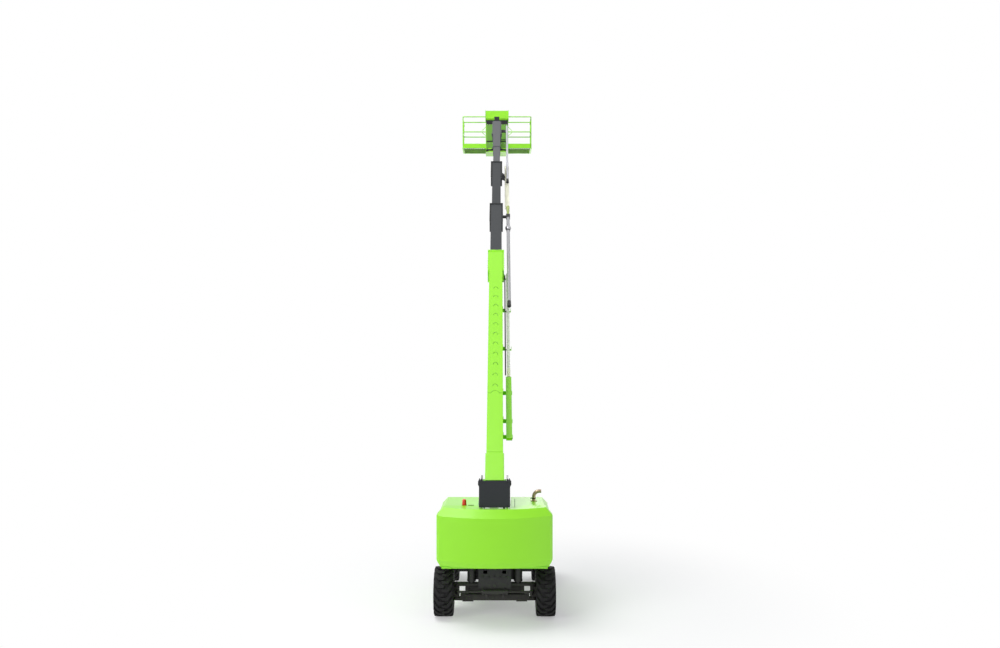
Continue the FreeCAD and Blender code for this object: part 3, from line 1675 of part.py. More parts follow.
def platform_floor():
    """The floor: an edge frame, the grating inside it and the toe boards that stand on it."""
    half = S.platformWidth / 2
    near, far = S.platformAhead, S.platformAhead + S.platformDepth
    low, top = -2, S.floorThickness - 2
    edge = S.floorEdge
    frame = cut(
        "floor_frame",
        block("floor_slab", (-half, half), (near, far), (low, top)),
        block("floor_well", (-half + edge, half - edge), (near + edge, far - edge), (low - 1, top + 1)),
    )
    grating = block(
        "floor_grating", (-half + edge, half - edge), (near + edge, far - edge), (low + 6, top - 4)
    )
    board = S.toeBoardThickness
    inset = S.railRadius * 2 + 1
    left, right = -half + inset, half - inset
    upright = (top, S.toeBoardHeight)
    boards = [
        block("toe_near", (left, right), (near + inset, near + inset + board), upright),
        block("toe_far", (left, right), (far - inset - board, far - inset), upright),
        block("toe_right", (right - board, right), (near + inset, far - inset), upright),
    ]
    node("platform_floor", fuse("floor_body", frame, grating, *boards), PLATFORM)


def rail_loop(name, level):
    """A rail round the platform with bent corners, open at the left end for the gate."""
    half = S.platformWidth / 2 - S.railRadius
    near = S.platformAhead + S.railRadius
    far = S.platformAhead + S.platformDepth - S.railRadius
    bend = S.railBend
    radius = S.railRadius
    pieces = [
        round_bar(name + "_near", "X", (-half + bend, half - bend), (near, level), radius),
        round_bar(name + "_far", "X", (-half + bend, half - bend), (far, level), radius),
        round_bar(name + "_right", "Y", (near + bend, far - bend), (half, level), radius),
    ]
    corners = [
        (half - bend, far - bend, 0),
        (-half + bend, far - bend, 90),
        (-half + bend, near + bend, 180),
        (half - bend, near + bend, 270),
    ]
    for index, (x, y, angle) in enumerate(corners):
        corner = doc.addObject("Part::Torus", f"{name}_corner_{index}")
        bind(corner, "Radius1", bend)
        bind(corner, "Radius2", radius)
        corner.Angle3 = 90
        put(corner, (x, y, as_size(level)), Rotation(Vector(0, 0, 1), angle))
        pieces.append(corner)
    return pieces


def platform_rails():
    half = S.platformWidth / 2 - S.railRadius
    near = S.platformAhead + S.railRadius
    far = S.platformAhead + S.platformDepth - S.railRadius
    top = S.railHeight - S.railRadius
    middle = S.midRailHeight
    floor_top = S.floorThickness - 2
    pieces = rail_loop("top_rail", top) + rail_loop("mid_rail", middle)
    bend = S.railBend
    posts = [
        (half, near + bend + 20),
        (half, far - bend - 20),
        (-half, near + bend + 20),
        (-half, far - bend - 20),
    ]
    inner = S.consoleHalfWidth - 20
    for x in (-inner, inner):
        posts += [(x, near), (x, far)]
    for index, (x, y) in enumerate(posts):
        pieces.append(round_bar(f"rail_post_{index}", "Z", (floor_top, top), (x, y), S.railRadius - 1))
    stub_length = bend + 20 + S.railRadius + 1
    for name, level in (("top", top), ("mid", middle)):
        for end, limits in (
            ("near", (near + bend, near + stub_length)),
            ("far", (far - stub_length, far - bend)),
        ):
            pieces.append(round_bar(f"rail_{name}_stub_{end}", "Y", limits, (-half, level), S.railRadius))
    node("platform_rails", fuse("rails_body", *pieces), PLATFORM)


def platform_gate():
    """The gate in the left end, hung on the far post and opening inwards."""
    half = S.platformWidth / 2 - S.railRadius
    near = S.platformAhead + S.railRadius
    far = S.platformAhead + S.platformDepth - S.railRadius
    post_far = far - S.railBend - 20
    post_near = near + S.railBend + 20
    bar = 15
    y0 = post_near + S.railRadius + bar + 8
    y1 = post_far - 55
    top = S.railHeight - S.railRadius - 20
    middle = S.midRailHeight
    low = S.floorThickness + 60
    pieces = [
        round_bar("gate_top", "Y", (y0, y1), (-half, top), bar),
        round_bar("gate_middle", "Y", (y0, y1), (-half, middle), bar),
        round_bar("gate_low", "Y", (y0, y1), (-half, low), bar),
        round_bar("gate_near_stile", "Z", (low - bar - 4, top + bar + 4), (-half, y0), bar + 1),
        round_bar("gate_far_stile", "Z", (low - bar - 4, top + bar + 4), (-half, y1), bar + 1),
    ]
    bores = []
    for index, level in enumerate((low + 60, top - 160)):
        sleeve = round_bar(f"gate_sleeve_{index}", "Z", (level, level + 60), (-half, post_far), 25)
        strap = block(f"gate_strap_{index}", (-half - 6, -half + 6), (y1, post_far - 18), (level, level + 60))
        pieces += [sleeve, strap]
        post_radius = S.railRadius - 1
        bores.append(
            round_bar(
                f"gate_bore_{index}",
                "Z",
                (level - 1, level + 61),
                (-half, post_far),
                post_radius + S.runningFit,
            )
        )
    node("platform_gate", cut("gate_body", fuse("gate_solid", *pieces), *bores), PLATFORM)


def console():
    """The control console's housing on the near rail."""
    half = S.consoleHalfWidth
    near = S.platformAhead
    cover = plate(
        "console_cover",
        "X",
        (-half, half),
        [
            (near - 70, S.consoleBottom + 60),
            (near - 1, S.consoleBottom),
            (near - 1, S.railHeight + 4),
            (near + 260, S.railHeight + 4),
            (near + 260, S.consoleTop - 130),
            (near - 20, S.consoleTop),
            (near - 70, S.consoleTop - 60),
        ],
    )
    cheek = plate(
        "console_cheek",
        "X",
        (half - 1, half + 8),
        [
            (near - 85, S.consoleBottom - 20),
            (near - 1, S.consoleBottom - 80),
            (near - 1, S.railHeight + 4),
            (near + 270, S.railHeight + 4),
            (near + 270, S.consoleTop - 100),
            (near - 20, S.consoleTop + 35),
            (near - 85, S.consoleTop - 40),
        ],
    )
    node("control_console", fuse("console_body", cover, both_sides("console_cheeks", cheek)), PLATFORM)


chassis_frame()
cross_beams()
lock_cylinders()
steer_axle()
steer_cylinder()
steer_rod()
knuckle(1, "knuckle_right")
knuckle(-1, "knuckle_left")
fixed_axle()
tyre_body = tyre()
wheel("steer_right", 1, steer_y, tyre_body)
wheel("steer_left", -1, steer_y, tyre_body)
wheel("fixed_right", 1, fixed_y, tyre_body)
wheel("fixed_left", -1, fixed_y, tyre_body)
turntable_frame()
counterweight()
hood("hood_right", 1)
hood("hood_left", -1)
hood_door("door_right", 1)
hood_door("door_left", -1)
engine()
rear_cover()
beacon()
exhaust()
base_boom()
second_section()
third_section()
fly_section()
hose_tray()
lower_chain()
lower_tube()
upper_chain()
upper_tube()
lift_cylinder()
level_cylinder()
jib_cylinder()
jib_base()
jib_arm()
jib_link()
platform_support()
platform_bracket()
platform_floor()
platform_rails()
platform_gate()
console()

doc.recompute()

for thing in doc.Objects:
    if "Invalid" in thing.State or "Error" in thing.State:
        raise RuntimeError(f"{thing.Label} failed to build: {thing.State}")
for name, thing in NODES.items():
    if thing.Shape.isNull() or not thing.Shape.isValid():
        raise RuntimeError(f"{name} has no valid shape")

os.makedirs("parts", exist_ok=True)
for name, thing in NODES.items():
    thing.Shape.exportStep(f"parts/{name}.step")
    print(name, len(thing.Shape.Solids), "solid(s)")
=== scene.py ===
import json
import math

import bmesh
import bpy
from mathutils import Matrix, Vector


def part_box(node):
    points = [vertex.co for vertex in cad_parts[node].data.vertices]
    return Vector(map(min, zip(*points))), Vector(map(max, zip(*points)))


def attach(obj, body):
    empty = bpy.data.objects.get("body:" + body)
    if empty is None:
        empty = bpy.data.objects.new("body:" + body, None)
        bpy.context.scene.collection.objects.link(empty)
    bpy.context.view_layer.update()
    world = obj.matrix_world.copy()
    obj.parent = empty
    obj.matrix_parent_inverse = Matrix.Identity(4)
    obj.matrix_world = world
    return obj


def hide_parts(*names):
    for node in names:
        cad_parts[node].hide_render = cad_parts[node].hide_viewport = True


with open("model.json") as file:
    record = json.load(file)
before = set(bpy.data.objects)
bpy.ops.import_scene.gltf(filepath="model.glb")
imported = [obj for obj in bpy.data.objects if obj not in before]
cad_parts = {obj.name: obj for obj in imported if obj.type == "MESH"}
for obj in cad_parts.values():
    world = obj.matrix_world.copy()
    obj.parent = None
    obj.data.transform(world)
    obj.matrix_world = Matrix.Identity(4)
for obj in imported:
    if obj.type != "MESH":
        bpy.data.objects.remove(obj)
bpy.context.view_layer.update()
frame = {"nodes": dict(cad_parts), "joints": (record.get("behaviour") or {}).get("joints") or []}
nodes = frame["nodes"]
joints = {joint["name"]: joint for joint in frame["joints"]}

# ---------------------------------------------------------------- the view and the studio
# A level camera stands behind the counterweight, a little to the right of the machine's
# middle, and looks the way the boom points.

slew_centre = Vector(joints["slew"]["pos_m"])
camera_data = bpy.data.cameras.new("camera")
camera_data.sensor_width = 36.0
camera_data.lens = 32.4
camera_data.clip_end = 400.0
camera = bpy.data.objects.new("camera", camera_data)
camera.location = (0.105, slew_centre.y - 19.42, 5.88)
camera.rotation_euler = (math.radians(90), 0, 0)
bpy.context.scene.collection.objects.link(camera)
bpy.context.scene.camera = camera
bpy.context.scene.view_settings.view_transform = "Standard"


def soft_lamp(name, place, target, width, height, strength):
    """A rectangular studio lamp that faces a target."""
    data = bpy.data.lights.new(name, "AREA")
    data.shape = "RECTANGLE"
    data.size, data.size_y = width, height
    data.energy = strength
    lamp = bpy.data.objects.new(name, data)
    lamp.location = place
    lamp.rotation_euler = (Vector(target) - Vector(place)).to_track_quat("-Z", "Y").to_euler()
    bpy.context.scene.collection.objects.link(lamp)


soft_lamp("top_lamp", (-9.0, -8.0, 24.0), (0, -2, 4), 14.0, 14.0, 3500.0)
soft_lamp("left_lamp", (-16.0, -22.0, 9.0), (0, -7, 3), 10.0, 12.0, 1500.0)
soft_lamp("right_lamp", (17.0, -20.0, 7.0), (0, -6, 3), 8.0, 12.0, 700.0)
soft_lamp("front_lamp", (6.0, 26.0, 14.0), (0, 4, 8), 12.0, 12.0, 1100.0)


def plug(tree, node, inputs):
    """Fills a node's inputs: a socket is linked, any other value becomes the input's own."""
    for label, value in inputs.items():
        if isinstance(value, bpy.types.NodeSocket):
            tree.links.new(value, node.inputs[label])
        else:
            node.inputs[label].default_value = value


def shader_node(tree, kind, inputs=None, **settings):
    """A new shader node with its settings and its inputs."""
    node = tree.nodes.new(f"ShaderNode{kind}")
    for label, value in settings.items():
        setattr(node, label, value)
    plug(tree, node, inputs or {})
    return node


def object_place(tree):
    """The coordinates that patterns are drawn on: metres from the object's origin."""
    return shader_node(tree, "TexCoord").outputs["Object"]


def seen_rays(tree):
    """1 for the rays that see the white backdrop: camera, glossy and transmission rays."""
    rays = shader_node(tree, "LightPath").outputs
    total = rays["Is Camera Ray"]
    for kind in ("Is Glossy Ray", "Is Transmission Ray"):
        total = shader_node(tree, "Math", {0: total, 1: rays[kind]}, operation="MAXIMUM").outputs[0]
    return total


world = bpy.data.worlds.new("studio")
bpy.context.scene.world = world
world.use_nodes = True
shades = world.node_tree
shades.nodes.clear()
lit_side = shader_node(shades, "Background", {"Color": (0.93, 0.95, 1.0, 1), "Strength": 0.42})
seen_side = shader_node(shades, "Background", {"Color": (1, 1, 1, 1), "Strength": 1.0})
world_mix = shader_node(
    shades, "MixShader", {0: seen_rays(shades), 1: lit_side.outputs[0], 2: seen_side.outputs[0]}
)
shader_node(shades, "OutputWorld", {"Surface": world_mix.outputs[0]})

# The floor keeps the machine's shadow close by and fades into the white backdrop further off.
floor_reach = 150.0
fade_start, fade_end, least_fade = 1.2, 7.0, 0.3
floor_mesh = bpy.data.meshes.new("studio_floor")
floor_corners = [(x * floor_reach, y * floor_reach, 0) for x, y in ((-1, -1), (1, -1), (1, 1), (-1, 1))]
floor_mesh.from_pydata(floor_corners, [], [(0, 1, 2, 3)])
floor = bpy.data.objects.new("studio_floor", floor_mesh)
bpy.context.scene.collection.objects.link(floor)
floor_paint = bpy.data.materials.new("studio_floor")
floor_paint.use_nodes = True
floor_tree = floor_paint.node_tree
floor_tree.nodes.clear()
from_middle = shader_node(
    floor_tree, "VectorMath", {0: object_place(floor_tree), 1: (1.0, slew_centre.y, 0)}, operation="SUBTRACT"
)
distance = shader_node(floor_tree, "VectorMath", {0: from_middle.outputs[0]}, operation="LENGTH")
fade = shader_node(
    floor_tree,
    "MapRange",
    {"Value": distance.outputs["Value"], "From Min": fade_start, "From Max": fade_end, "To Min": least_fade},
    interpolation_type="SMOOTHSTEP",
)
white_share = shader_node(
    floor_tree, "Math", {0: fade.outputs[0], 1: seen_rays(floor_tree)}, operation="MULTIPLY"
)
matt = shader_node(floor_tree, "BsdfDiffuse", {"Color": (0.97, 0.97, 0.97, 1)})
white = shader_node(floor_tree, "Emission", {"Color": (1, 1, 1, 1)})
floor_mix = shader_node(
    floor_tree, "MixShader", {0: white_share.outputs[0], 1: matt.outputs[0], 2: white.outputs[0]}
)
shader_node(floor_tree, "OutputMaterial", {"Surface": floor_mix.outputs[0]})
floor_mesh.materials.append(floor_paint)

# ---------------------------------------------------------------- chassis frame and slewing ring
# A welded box of steel plate, sprayed near-black, with a machined slewing ring bolted to its
# top and lashing lugs at its end.


def new_shader_group(name, inputs, outputs):
    """An empty shader group from (name, kind, default) inputs and (name, kind) outputs."""
    group = bpy.data.node_groups.new(name, "ShaderNodeTree")
    for label, kind, value in inputs:
        socket = group.interface.new_socket(label, in_out="INPUT", socket_type=f"NodeSocket{kind}")
        socket.default_value = value
    for label, kind in outputs:
        group.interface.new_socket(label, in_out="OUTPUT", socket_type=f"NodeSocket{kind}")
    return group, group.nodes.new("NodeGroupInput").outputs, group.nodes.new("NodeGroupOutput")


def shader_math(tree, operation, first, second):
    """The result of a sum on two sockets or plain numbers, kept between 0 and 1 unless it subtracts."""
    clamped = operation != "SUBTRACT"
    return shader_node(tree, "Math", {0: first, 1: second}, operation=operation, use_clamp=clamped).outputs[0]


def noise_of(tree, place, scale, detail, roughness=0.55):
    """The factor of a noise texture."""
    sockets = {"Vector": place, "Scale": scale, "Detail": detail, "Roughness": roughness}
    return shader_node(tree, "TexNoise", sockets).outputs["Fac"]


def share_between(tree, value, low, high):
    """How far a value has come from one level to another."""
    return shader_node(tree, "MapRange", {"Value": value, "From Min": low, "From Max": high}).outputs[0]


def mixed_colour(tree, factor, first, second):
    """The blend of two colours, each a socket or a plain colour."""
    sockets = {"Factor": factor, "A": first, "B": second}
    return shader_node(tree, "Mix", sockets, data_type="RGBA").outputs["Result"]


def bumped(tree, height, strength, distance, **more):
    """The normal of a surface that rises and falls with a height."""
    sockets = {"Strength": strength, "Distance": distance, "Height": height, **more}
    return shader_node(tree, "Bump", sockets).outputs["Normal"]


# Rounded and worn edges: the corner's rounded normal, and a mask that is 1 on the edge.
worn_edges, worn_in, worn_out = new_shader_group(
    "worn_edges", [("Wear scale", "Float", 9.0)], [("Edge", "Float"), ("Normal", "Vector")]
)
edge_normal = shader_node(worn_edges, "Bevel", {"Radius": 0.006}, samples=4).outputs["Normal"]
true_normal = shader_node(worn_edges, "NewGeometry").outputs["Normal"]
agreement = shader_node(worn_edges, "VectorMath", {0: edge_normal, 1: true_normal}, operation="DOT_PRODUCT")
turned_away = shader_math(worn_edges, "SUBTRACT", 1.0, agreement.outputs["Value"])
edge_mask = share_between(worn_edges, turned_away, 0.02, 0.25)
wear_noise = noise_of(worn_edges, object_place(worn_edges), worn_in["Wear scale"], 6.0, 0.5)
broken_up = share_between(worn_edges, wear_noise, 0.45, 0.7)
plug(worn_edges, worn_out, {
    "Edge": shader_math(worn_edges, "MULTIPLY", edge_mask, broken_up),
    "Normal": edge_normal,
})

# Sprayed paint: slow drift of the colour, fine orange peel, and dust that settles low down.
sprayed, sprayed_in, sprayed_out = new_shader_group(
    "sprayed_paint",
    [
        ("Colour", "Color", (0.5, 0.5, 0.5, 1)),
        ("Drift", "Float", 0.06),
        ("Dust", "Float", 0.1),
        ("Roughness", "Float", 0.35),
    ],
    [("Colour", "Color"), ("Roughness", "Float"), ("Height", "Float")],
)
dust_colour = (0.30, 0.27, 0.22, 1)
dust_level = 1.3
spray_place = object_place(sprayed)
slow = noise_of(sprayed, spray_place, 1.3, 3.0)
fine = noise_of(sprayed, spray_place, 420.0, 2.0)
streaks = noise_of(sprayed, spray_place, 22.0, 6.0, 0.7)
drift = shader_math(sprayed, "MULTIPLY", slow, sprayed_in["Drift"])
brightness = shader_node(sprayed, "Math", {0: drift, 1: 0.97}, operation="ADD").outputs[0]
drifted = shader_node(sprayed, "HueSaturation", {"Value": brightness, "Color": sprayed_in["Colour"]})
height_of = shader_node(sprayed, "SeparateXYZ", {0: spray_place}).outputs["Z"]
low_down = share_between(sprayed, height_of, dust_level, 0.0)
settled = shader_math(sprayed, "MULTIPLY", low_down, streaks)
dust_mask = shader_math(sprayed, "MULTIPLY", settled, sprayed_in["Dust"])
rough_drift = shader_math(sprayed, "MULTIPLY", streaks, 0.14)
plug(sprayed, sprayed_out, {
    "Colour": mixed_colour(sprayed, dust_mask, drifted.outputs["Color"], dust_colour),
    "Roughness": shader_math(sprayed, "ADD", sprayed_in["Roughness"], rough_drift),
    "Height": fine,
})


def new_material(name):
    """A material, its node tree and its surface shader."""
    material = bpy.data.materials.new(name)
    material.use_nodes = True
    return material, material.node_tree, material.node_tree.nodes["Principled BSDF"]


def paint(name, colour, roughness, coat, wear_colour, wear, peel=0.02, dust=0.1, shine=0.5):
    """Sprayed paint over steel: colour drift, orange peel, and edges worn towards another colour."""
    material, tree, surface = new_material(name)
    film = {"Colour": (*colour, 1), "Drift": 0.06, "Dust": dust, "Roughness": roughness}
    finish = shader_node(tree, "Group", film, node_tree=sprayed).outputs
    edges = shader_node(tree, "Group", node_tree=worn_edges).outputs
    wear_mask = shader_math(tree, "MULTIPLY", edges["Edge"], wear)
    plug(tree, surface, {
        "Coat Weight": coat,
        "Coat Roughness": 0.12,
        "Specular IOR Level": shine,
        "Base Color": mixed_colour(tree, wear_mask, finish["Colour"], (*wear_colour, 1)),
        "Roughness": finish["Roughness"],
        "Normal": bumped(tree, finish["Height"], peel, 0.001, Normal=edges["Normal"]),
    })
    return material


def finish_nodes(material, *names):
    """Gives CAD nodes their finish."""
    for name in names:
        mesh = nodes[name].data
        mesh.materials.clear()
        mesh.materials.append(material)


chassis_paint = paint(
    "chassis_paint", (0.018, 0.020, 0.022), 0.45, 0.0, (0.10, 0.10, 0.10), 0.5, dust=0.25, shine=0.25
)
finish_nodes(chassis_paint, "chassis_frame", "cross_beams")

X, Y, Z = Vector((1, 0, 0)), Vector((0, 1, 0)), Vector((0, 0, 1))


def add_block(shape, low, high, at=(0, 0, 0), axes=(X, Y, Z)):
    """Adds a block between two corners, measured along the axes from a point."""
    corners = [
        shape.verts.new(Vector(at) + axes[0] * x + axes[1] * y + axes[2] * z)
        for z in (low[2], high[2])
        for y in (low[1], high[1])
        for x in (low[0], high[0])
    ]
    for side in ((0, 2, 3, 1), (4, 5, 7, 6), (0, 1, 5, 4), (2, 6, 7, 3), (0, 4, 6, 2), (1, 3, 7, 5)):
        shape.faces.new([corners[index] for index in side])


def add_strip(shape, first, second):
    """Joins two loops of points with a band of faces."""
    for index in range(len(first)):
        following = (index + 1) % len(first)
        shape.faces.new((first[index], first[following], second[following], second[index]))


def add_round(shape, profile, at, axis, sides):
    """Adds a round form: points of (distance along the axis, radius), turned about the axis.

    A profile that neither starts nor ends on the axis closes on itself, as a ring's section does.
    """
    axis = Vector(axis).normalized()
    side = axis.orthogonal().normalized()
    other = axis.cross(side)
    angles = [2 * math.pi * index / sides for index in range(sides)]
    rings = []
    for along, radius in profile:
        centre = Vector(at) + axis * along
        around = angles if radius else angles[:1]
        rings.append(
            [shape.verts.new(centre + (side * math.cos(a) + other * math.sin(a)) * radius) for a in around]
        )
    if profile[0][1] > 0 and profile[-1][1] > 0:
        rings.append(rings[0])
    for first, second in zip(rings, rings[1:]):
        for index in range(sides):
            following = index + 1
            corners = [
                first[index % len(first)],
                first[following % len(first)],
                second[following % len(second)],
                second[index % len(second)],
            ]
            shape.faces.new(list(dict.fromkeys(corners)))


def add_drum(shape, along, radius, at, axis, sides):
    """Adds a plain drum between two distances along an axis."""
    low, high = along
    add_round(shape, [(low, 0), (low, radius), (high, radius), (high, 0)], at, axis, sides)


def add_bar(shape, start, end, radius, sides):
    """Adds a round bar between two points."""
    run = Vector(end) - Vector(start)
    add_drum(shape, (0, run.length), radius, start, run, sides)


def finished(name, shape, material, body, smooth=False):
    """Makes an object of a shape and lets it ride on its body."""
    bmesh.ops.recalc_face_normals(shape, faces=shape.faces[:])
    mesh = bpy.data.meshes.new(name)
    shape.to_mesh(mesh)
    shape.free()
    if smooth:
        mesh.polygons.foreach_set("use_smooth", [True] * len(mesh.polygons))
        mesh.set_sharp_from_angle(angle=math.radians(35))
    mesh.materials.append(material)
    piece = bpy.data.objects.new(name, mesh)
    bpy.context.scene.collection.objects.link(piece)
    if body:
        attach(piece, body)
    return piece


def copying_tree():
    """Copies a shape, each copy one step further along and one turn further round a centre."""
    tree = bpy.data.node_groups.new("stepped_copies", "GeometryNodeTree")
    kinds = {
        "Shape": "Geometry",
        "Count": "Int",
        "Centre": "Vector",
        "Step": "Vector",
        "First turn": "Vector",
        "Turn": "Vector",
        "Material": "Material",
    }
    for label, kind in kinds.items():
        tree.interface.new_socket(label, in_out="INPUT", socket_type=f"NodeSocket{kind}")
    tree.interface.new_socket("Copies", in_out="OUTPUT", socket_type="NodeSocketGeometry")
    given = tree.nodes.new("NodeGroupInput").outputs
    line = tree.nodes.new("GeometryNodeMeshLine")
    line.mode = "OFFSET"
    plug(tree, line, {"Count": given["Count"], "Start Location": given["Centre"], "Offset": given["Step"]})
    number = tree.nodes.new("GeometryNodeInputIndex").outputs[0]
    turned_by = shader_node(tree, "VectorMath", {0: given["Turn"]}, operation="SCALE")
    plug(tree, turned_by, {"Scale": number})
    whole_turn = shader_node(tree, "VectorMath", {0: turned_by.outputs["Vector"], 1: given["First turn"]})
    place = tree.nodes.new("GeometryNodeInstanceOnPoints")
    plug(tree, place, {
        "Points": line.outputs["Mesh"],
        "Instance": given["Shape"],
        "Rotation": whole_turn.outputs["Vector"],
    })
    realize = tree.nodes.new("GeometryNodeRealizeInstances")
    plug(tree, realize, {"Geometry": place.outputs["Instances"]})
    finish = tree.nodes.new("GeometryNodeSetMaterial")
    plug(tree, finish, {"Geometry": realize.outputs["Geometry"], "Material": given["Material"]})
    plug(tree, tree.nodes.new("NodeGroupOutput"), {"Copies": finish.outputs["Geometry"]})
    return tree


copies_tree = copying_tree()
copies_sockets = {
    item.name: item.identifier
    for item in copies_tree.interface.items_tree
    if item.item_type == "SOCKET" and item.in_out == "INPUT"
}


def copied(
    name, shape, material, body, count, centre,
    step=(0, 0, 0), first_turn=(0, 0, 0), turn=(0, 0, 0), smooth=False,
):
    """A row or ring of one shape, made with the copying tree and kept as a plain mesh."""
    piece = finished(name, shape, material, None, smooth)
    modifier = piece.modifiers.new("copies", "NODES")
    modifier.node_group = copies_tree
    settings = {
        "Count": count,
        "Centre": tuple(centre),
        "Step": tuple(step),
        "First turn": tuple(first_turn),
        "Turn": tuple(turn),
        "Material": material,
    }
    for label, value in settings.items():
        modifier[copies_sockets[label]] = value
    bpy.context.view_layer.update()
    graph = bpy.context.evaluated_depsgraph_get()
    plain = bpy.data.meshes.new_from_object(piece.evaluated_get(graph))
    piece.modifiers.clear()
    piece.data = plain
    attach(piece, body)


def bolt_head(radius, height, axis, at=(0, 0, 0)):
    """A hexagon head on a washer, standing along an axis."""
    shape = bmesh.new()
    washer = height * 0.2
    add_drum(shape, (0, washer), radius * 1.25, at, axis, 16)
    add_drum(shape, (washer, height), radius, at, axis, 6)
    return shape


def fine_marked(name, colour, roughness, grain_scale, metallic=1.0):
    """Bare metal, or another hard material, with fine marks all over it."""
    material, tree, surface = new_material(name)
    marks = noise_of(tree, object_place(tree), grain_scale, 5.0, 0.6)
    darker = (*(0.82 * channel for channel in colour), 1)
    plug(tree, surface, {
        "Metallic": metallic,
        "Base Color": mixed_colour(tree, marks, darker, (*colour, 1)),
        "Roughness": shader_math(tree, "ADD", shader_math(tree, "MULTIPLY", marks, 0.15), roughness),
        "Normal": bumped(tree, marks, 0.05, 0.0005),
    })
    return material


bolt_steel = fine_marked("bolt_steel", (0.42, 0.43, 0.45), 0.32, 90.0)
frame_low, frame_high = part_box("chassis_frame")
ring_top = frame_high[2] + 0.08
ring_bolts, ring_bolt_radius = 36, 0.489
copied(
    "slewing_ring_bolts", bolt_head(0.009, 0.014, Z, (ring_bolt_radius, 0, 0)), bolt_steel, "turntable",
    ring_bolts, (0, slew_centre.y, ring_top), turn=(0, 0, 2 * math.pi / ring_bolts),
)

# The frame's rear plate carries a row of five cap screws near its top.
copied(
    "frame_plate_bolts", bolt_head(0.014, 0.012, -Y), chassis_paint, "chassis",
    5, (-0.24, frame_low[1], frame_high[2] - 0.15), step=(0.12, 0, 0),
)

# ---------------------------------------------------------------- axles and steering
# Two rigid axles of welded plate; the steered one has forged knuckles, a through-rod
# cylinder and two locking cylinders between it and the frame.

axle_paint = paint(
    "axle_paint", (0.015, 0.016, 0.017), 0.5, 0.0, (0.09, 0.09, 0.09), 0.5, dust=0.25, shine=0.25
)
cylinder_paint = paint(
    "cylinder_paint", (0.016, 0.017, 0.018), 0.4, 0.05, (0.10, 0.10, 0.10), 0.4, dust=0.2, shine=0.3
)
finish_nodes(axle_paint, "steer_axle", "fixed_axle", "knuckle_left", "knuckle_right", "steer_rod")
finish_nodes(cylinder_paint, "steer_cylinder", "axle_lock_cylinders")

barrel_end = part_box("steer_cylinder")[1][0]
rod_low, rod_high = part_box("steer_rod")
rod_middle = Vector((0, rod_low[1] + 0.035, (rod_low[2] + rod_high[2]) / 2))
gland = [(-0.045, 0.046), (-0.045, 0.052), (-0.008, 0.052), (0, 0.047), (0, 0.024)]
hose_port = [(0, 0), (0, 0.013), (0.022, 0.013), (0.026, 0.009), (0.026, 0)]
port_out, port_up = 0.19, 0.044
steer_glands = bmesh.new()
for side in (-1, 1):
    add_round(steer_glands, gland, rod_middle + X * side * barrel_end, X * side, 28)
    add_round(steer_glands, hose_port, rod_middle + X * side * port_out + Z * port_up, Z, 12)
finished("steer_cylinder_glands", steer_glands, cylinder_paint, "chassis", smooth=True)

lock_low, lock_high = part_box("axle_lock_cylinders")
lock_out, band_from_end = 0.47, 0.055
band = [(-0.016, 0.084), (-0.016, 0.090), (0.016, 0.090), (0.016, 0.084)]
lock_bands = bmesh.new()
for side in (-1, 1):
    for height in (lock_low[2] + band_from_end, lock_high[2] - band_from_end):
        add_round(lock_bands, band, (side * lock_out, lock_high[1] - 0.085, height), Z, 32)
finished("lock_cylinder_bands", lock_bands, cylinder_paint, "chassis", smooth=True)

axle_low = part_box("steer_axle")[0]
for label, first_bolt in (("left", -0.59), ("right", 0.45)):
    copied(
        f"axle_foot_bolts_{label}", bolt_head(0.012, 0.011, -Y), axle_paint, "chassis",
        3, (first_bolt, axle_low[1] + 0.02, 0.36), step=(0.07, 0, 0),
    )

# ---------------------------------------------------------------- wheels
# Foam-filled rough-terrain tyres with deep chevron lugs, on pressed steel rims that are
# held by a ring of cone nuts.

rim_paint = paint("rim_paint", (0.026, 0.028, 0.030), 0.45, 0.05, (0.12, 0.12, 0.12), 0.5, dust=0.4)


def tyre_rubber():
    """Black rubber, fine-grained, slightly greyed where it is scuffed."""
    material, tree, surface = new_material("tyre_rubber")
    place = object_place(tree)
    scuffs = noise_of(tree, place, 14.0, 8.0, 0.65)
    grain = noise_of(tree, place, 600.0, 3.0)
    plug(tree, surface, {
        "Specular IOR Level": 0.2,
        "Base Color": mixed_colour(tree, scuffs, (0.009, 0.009, 0.010, 1), (0.022, 0.021, 0.021, 1)),
        "Roughness": shader_math(tree, "ADD", shader_math(tree, "MULTIPLY", scuffs, 0.2), 0.58),
        "Normal": bumped(tree, grain, 0.25, 0.001),
    })
    return material


rubber = tyre_rubber()
tyre_low, tyre_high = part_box("tyre_fixed_right")
tyre_radius = tyre_high[2] / 2
half_tyre = (tyre_high[0] - tyre_low[0]) / 2
tread_radius = tyre_radius - 0.034
lugs_per_side = 19
lug_angle = 2 * math.pi / lugs_per_side
# Pairs of (in from the shoulder, round the tread) for a lug's two long edges, and its height there.
lug_edges = [
    ((0.205, -0.029), (0.228, 0.029), 0.0),
    ((0.150, -0.029), (0.173, 0.029), 0.0),
    ((0.095, -0.029), (0.118, 0.029), 0.0),
    ((0.054, 0.038), (0.065, 0.104), -0.001),
    ((0.018, 0.096), (0.018, 0.170), -0.006),
    ((0.004, 0.118), (0.004, 0.192), -0.030),
]
flank_spread, foot_depth = 0.007, 0.020


def tread_point(side, inward, round_tread, radius):
    """A point by its place in from the tyre's shoulder and round its tread."""
    angle = round_tread / tyre_radius
    return Vector((side * (half_tyre - inward), math.sin(angle) * radius, math.cos(angle) * radius))


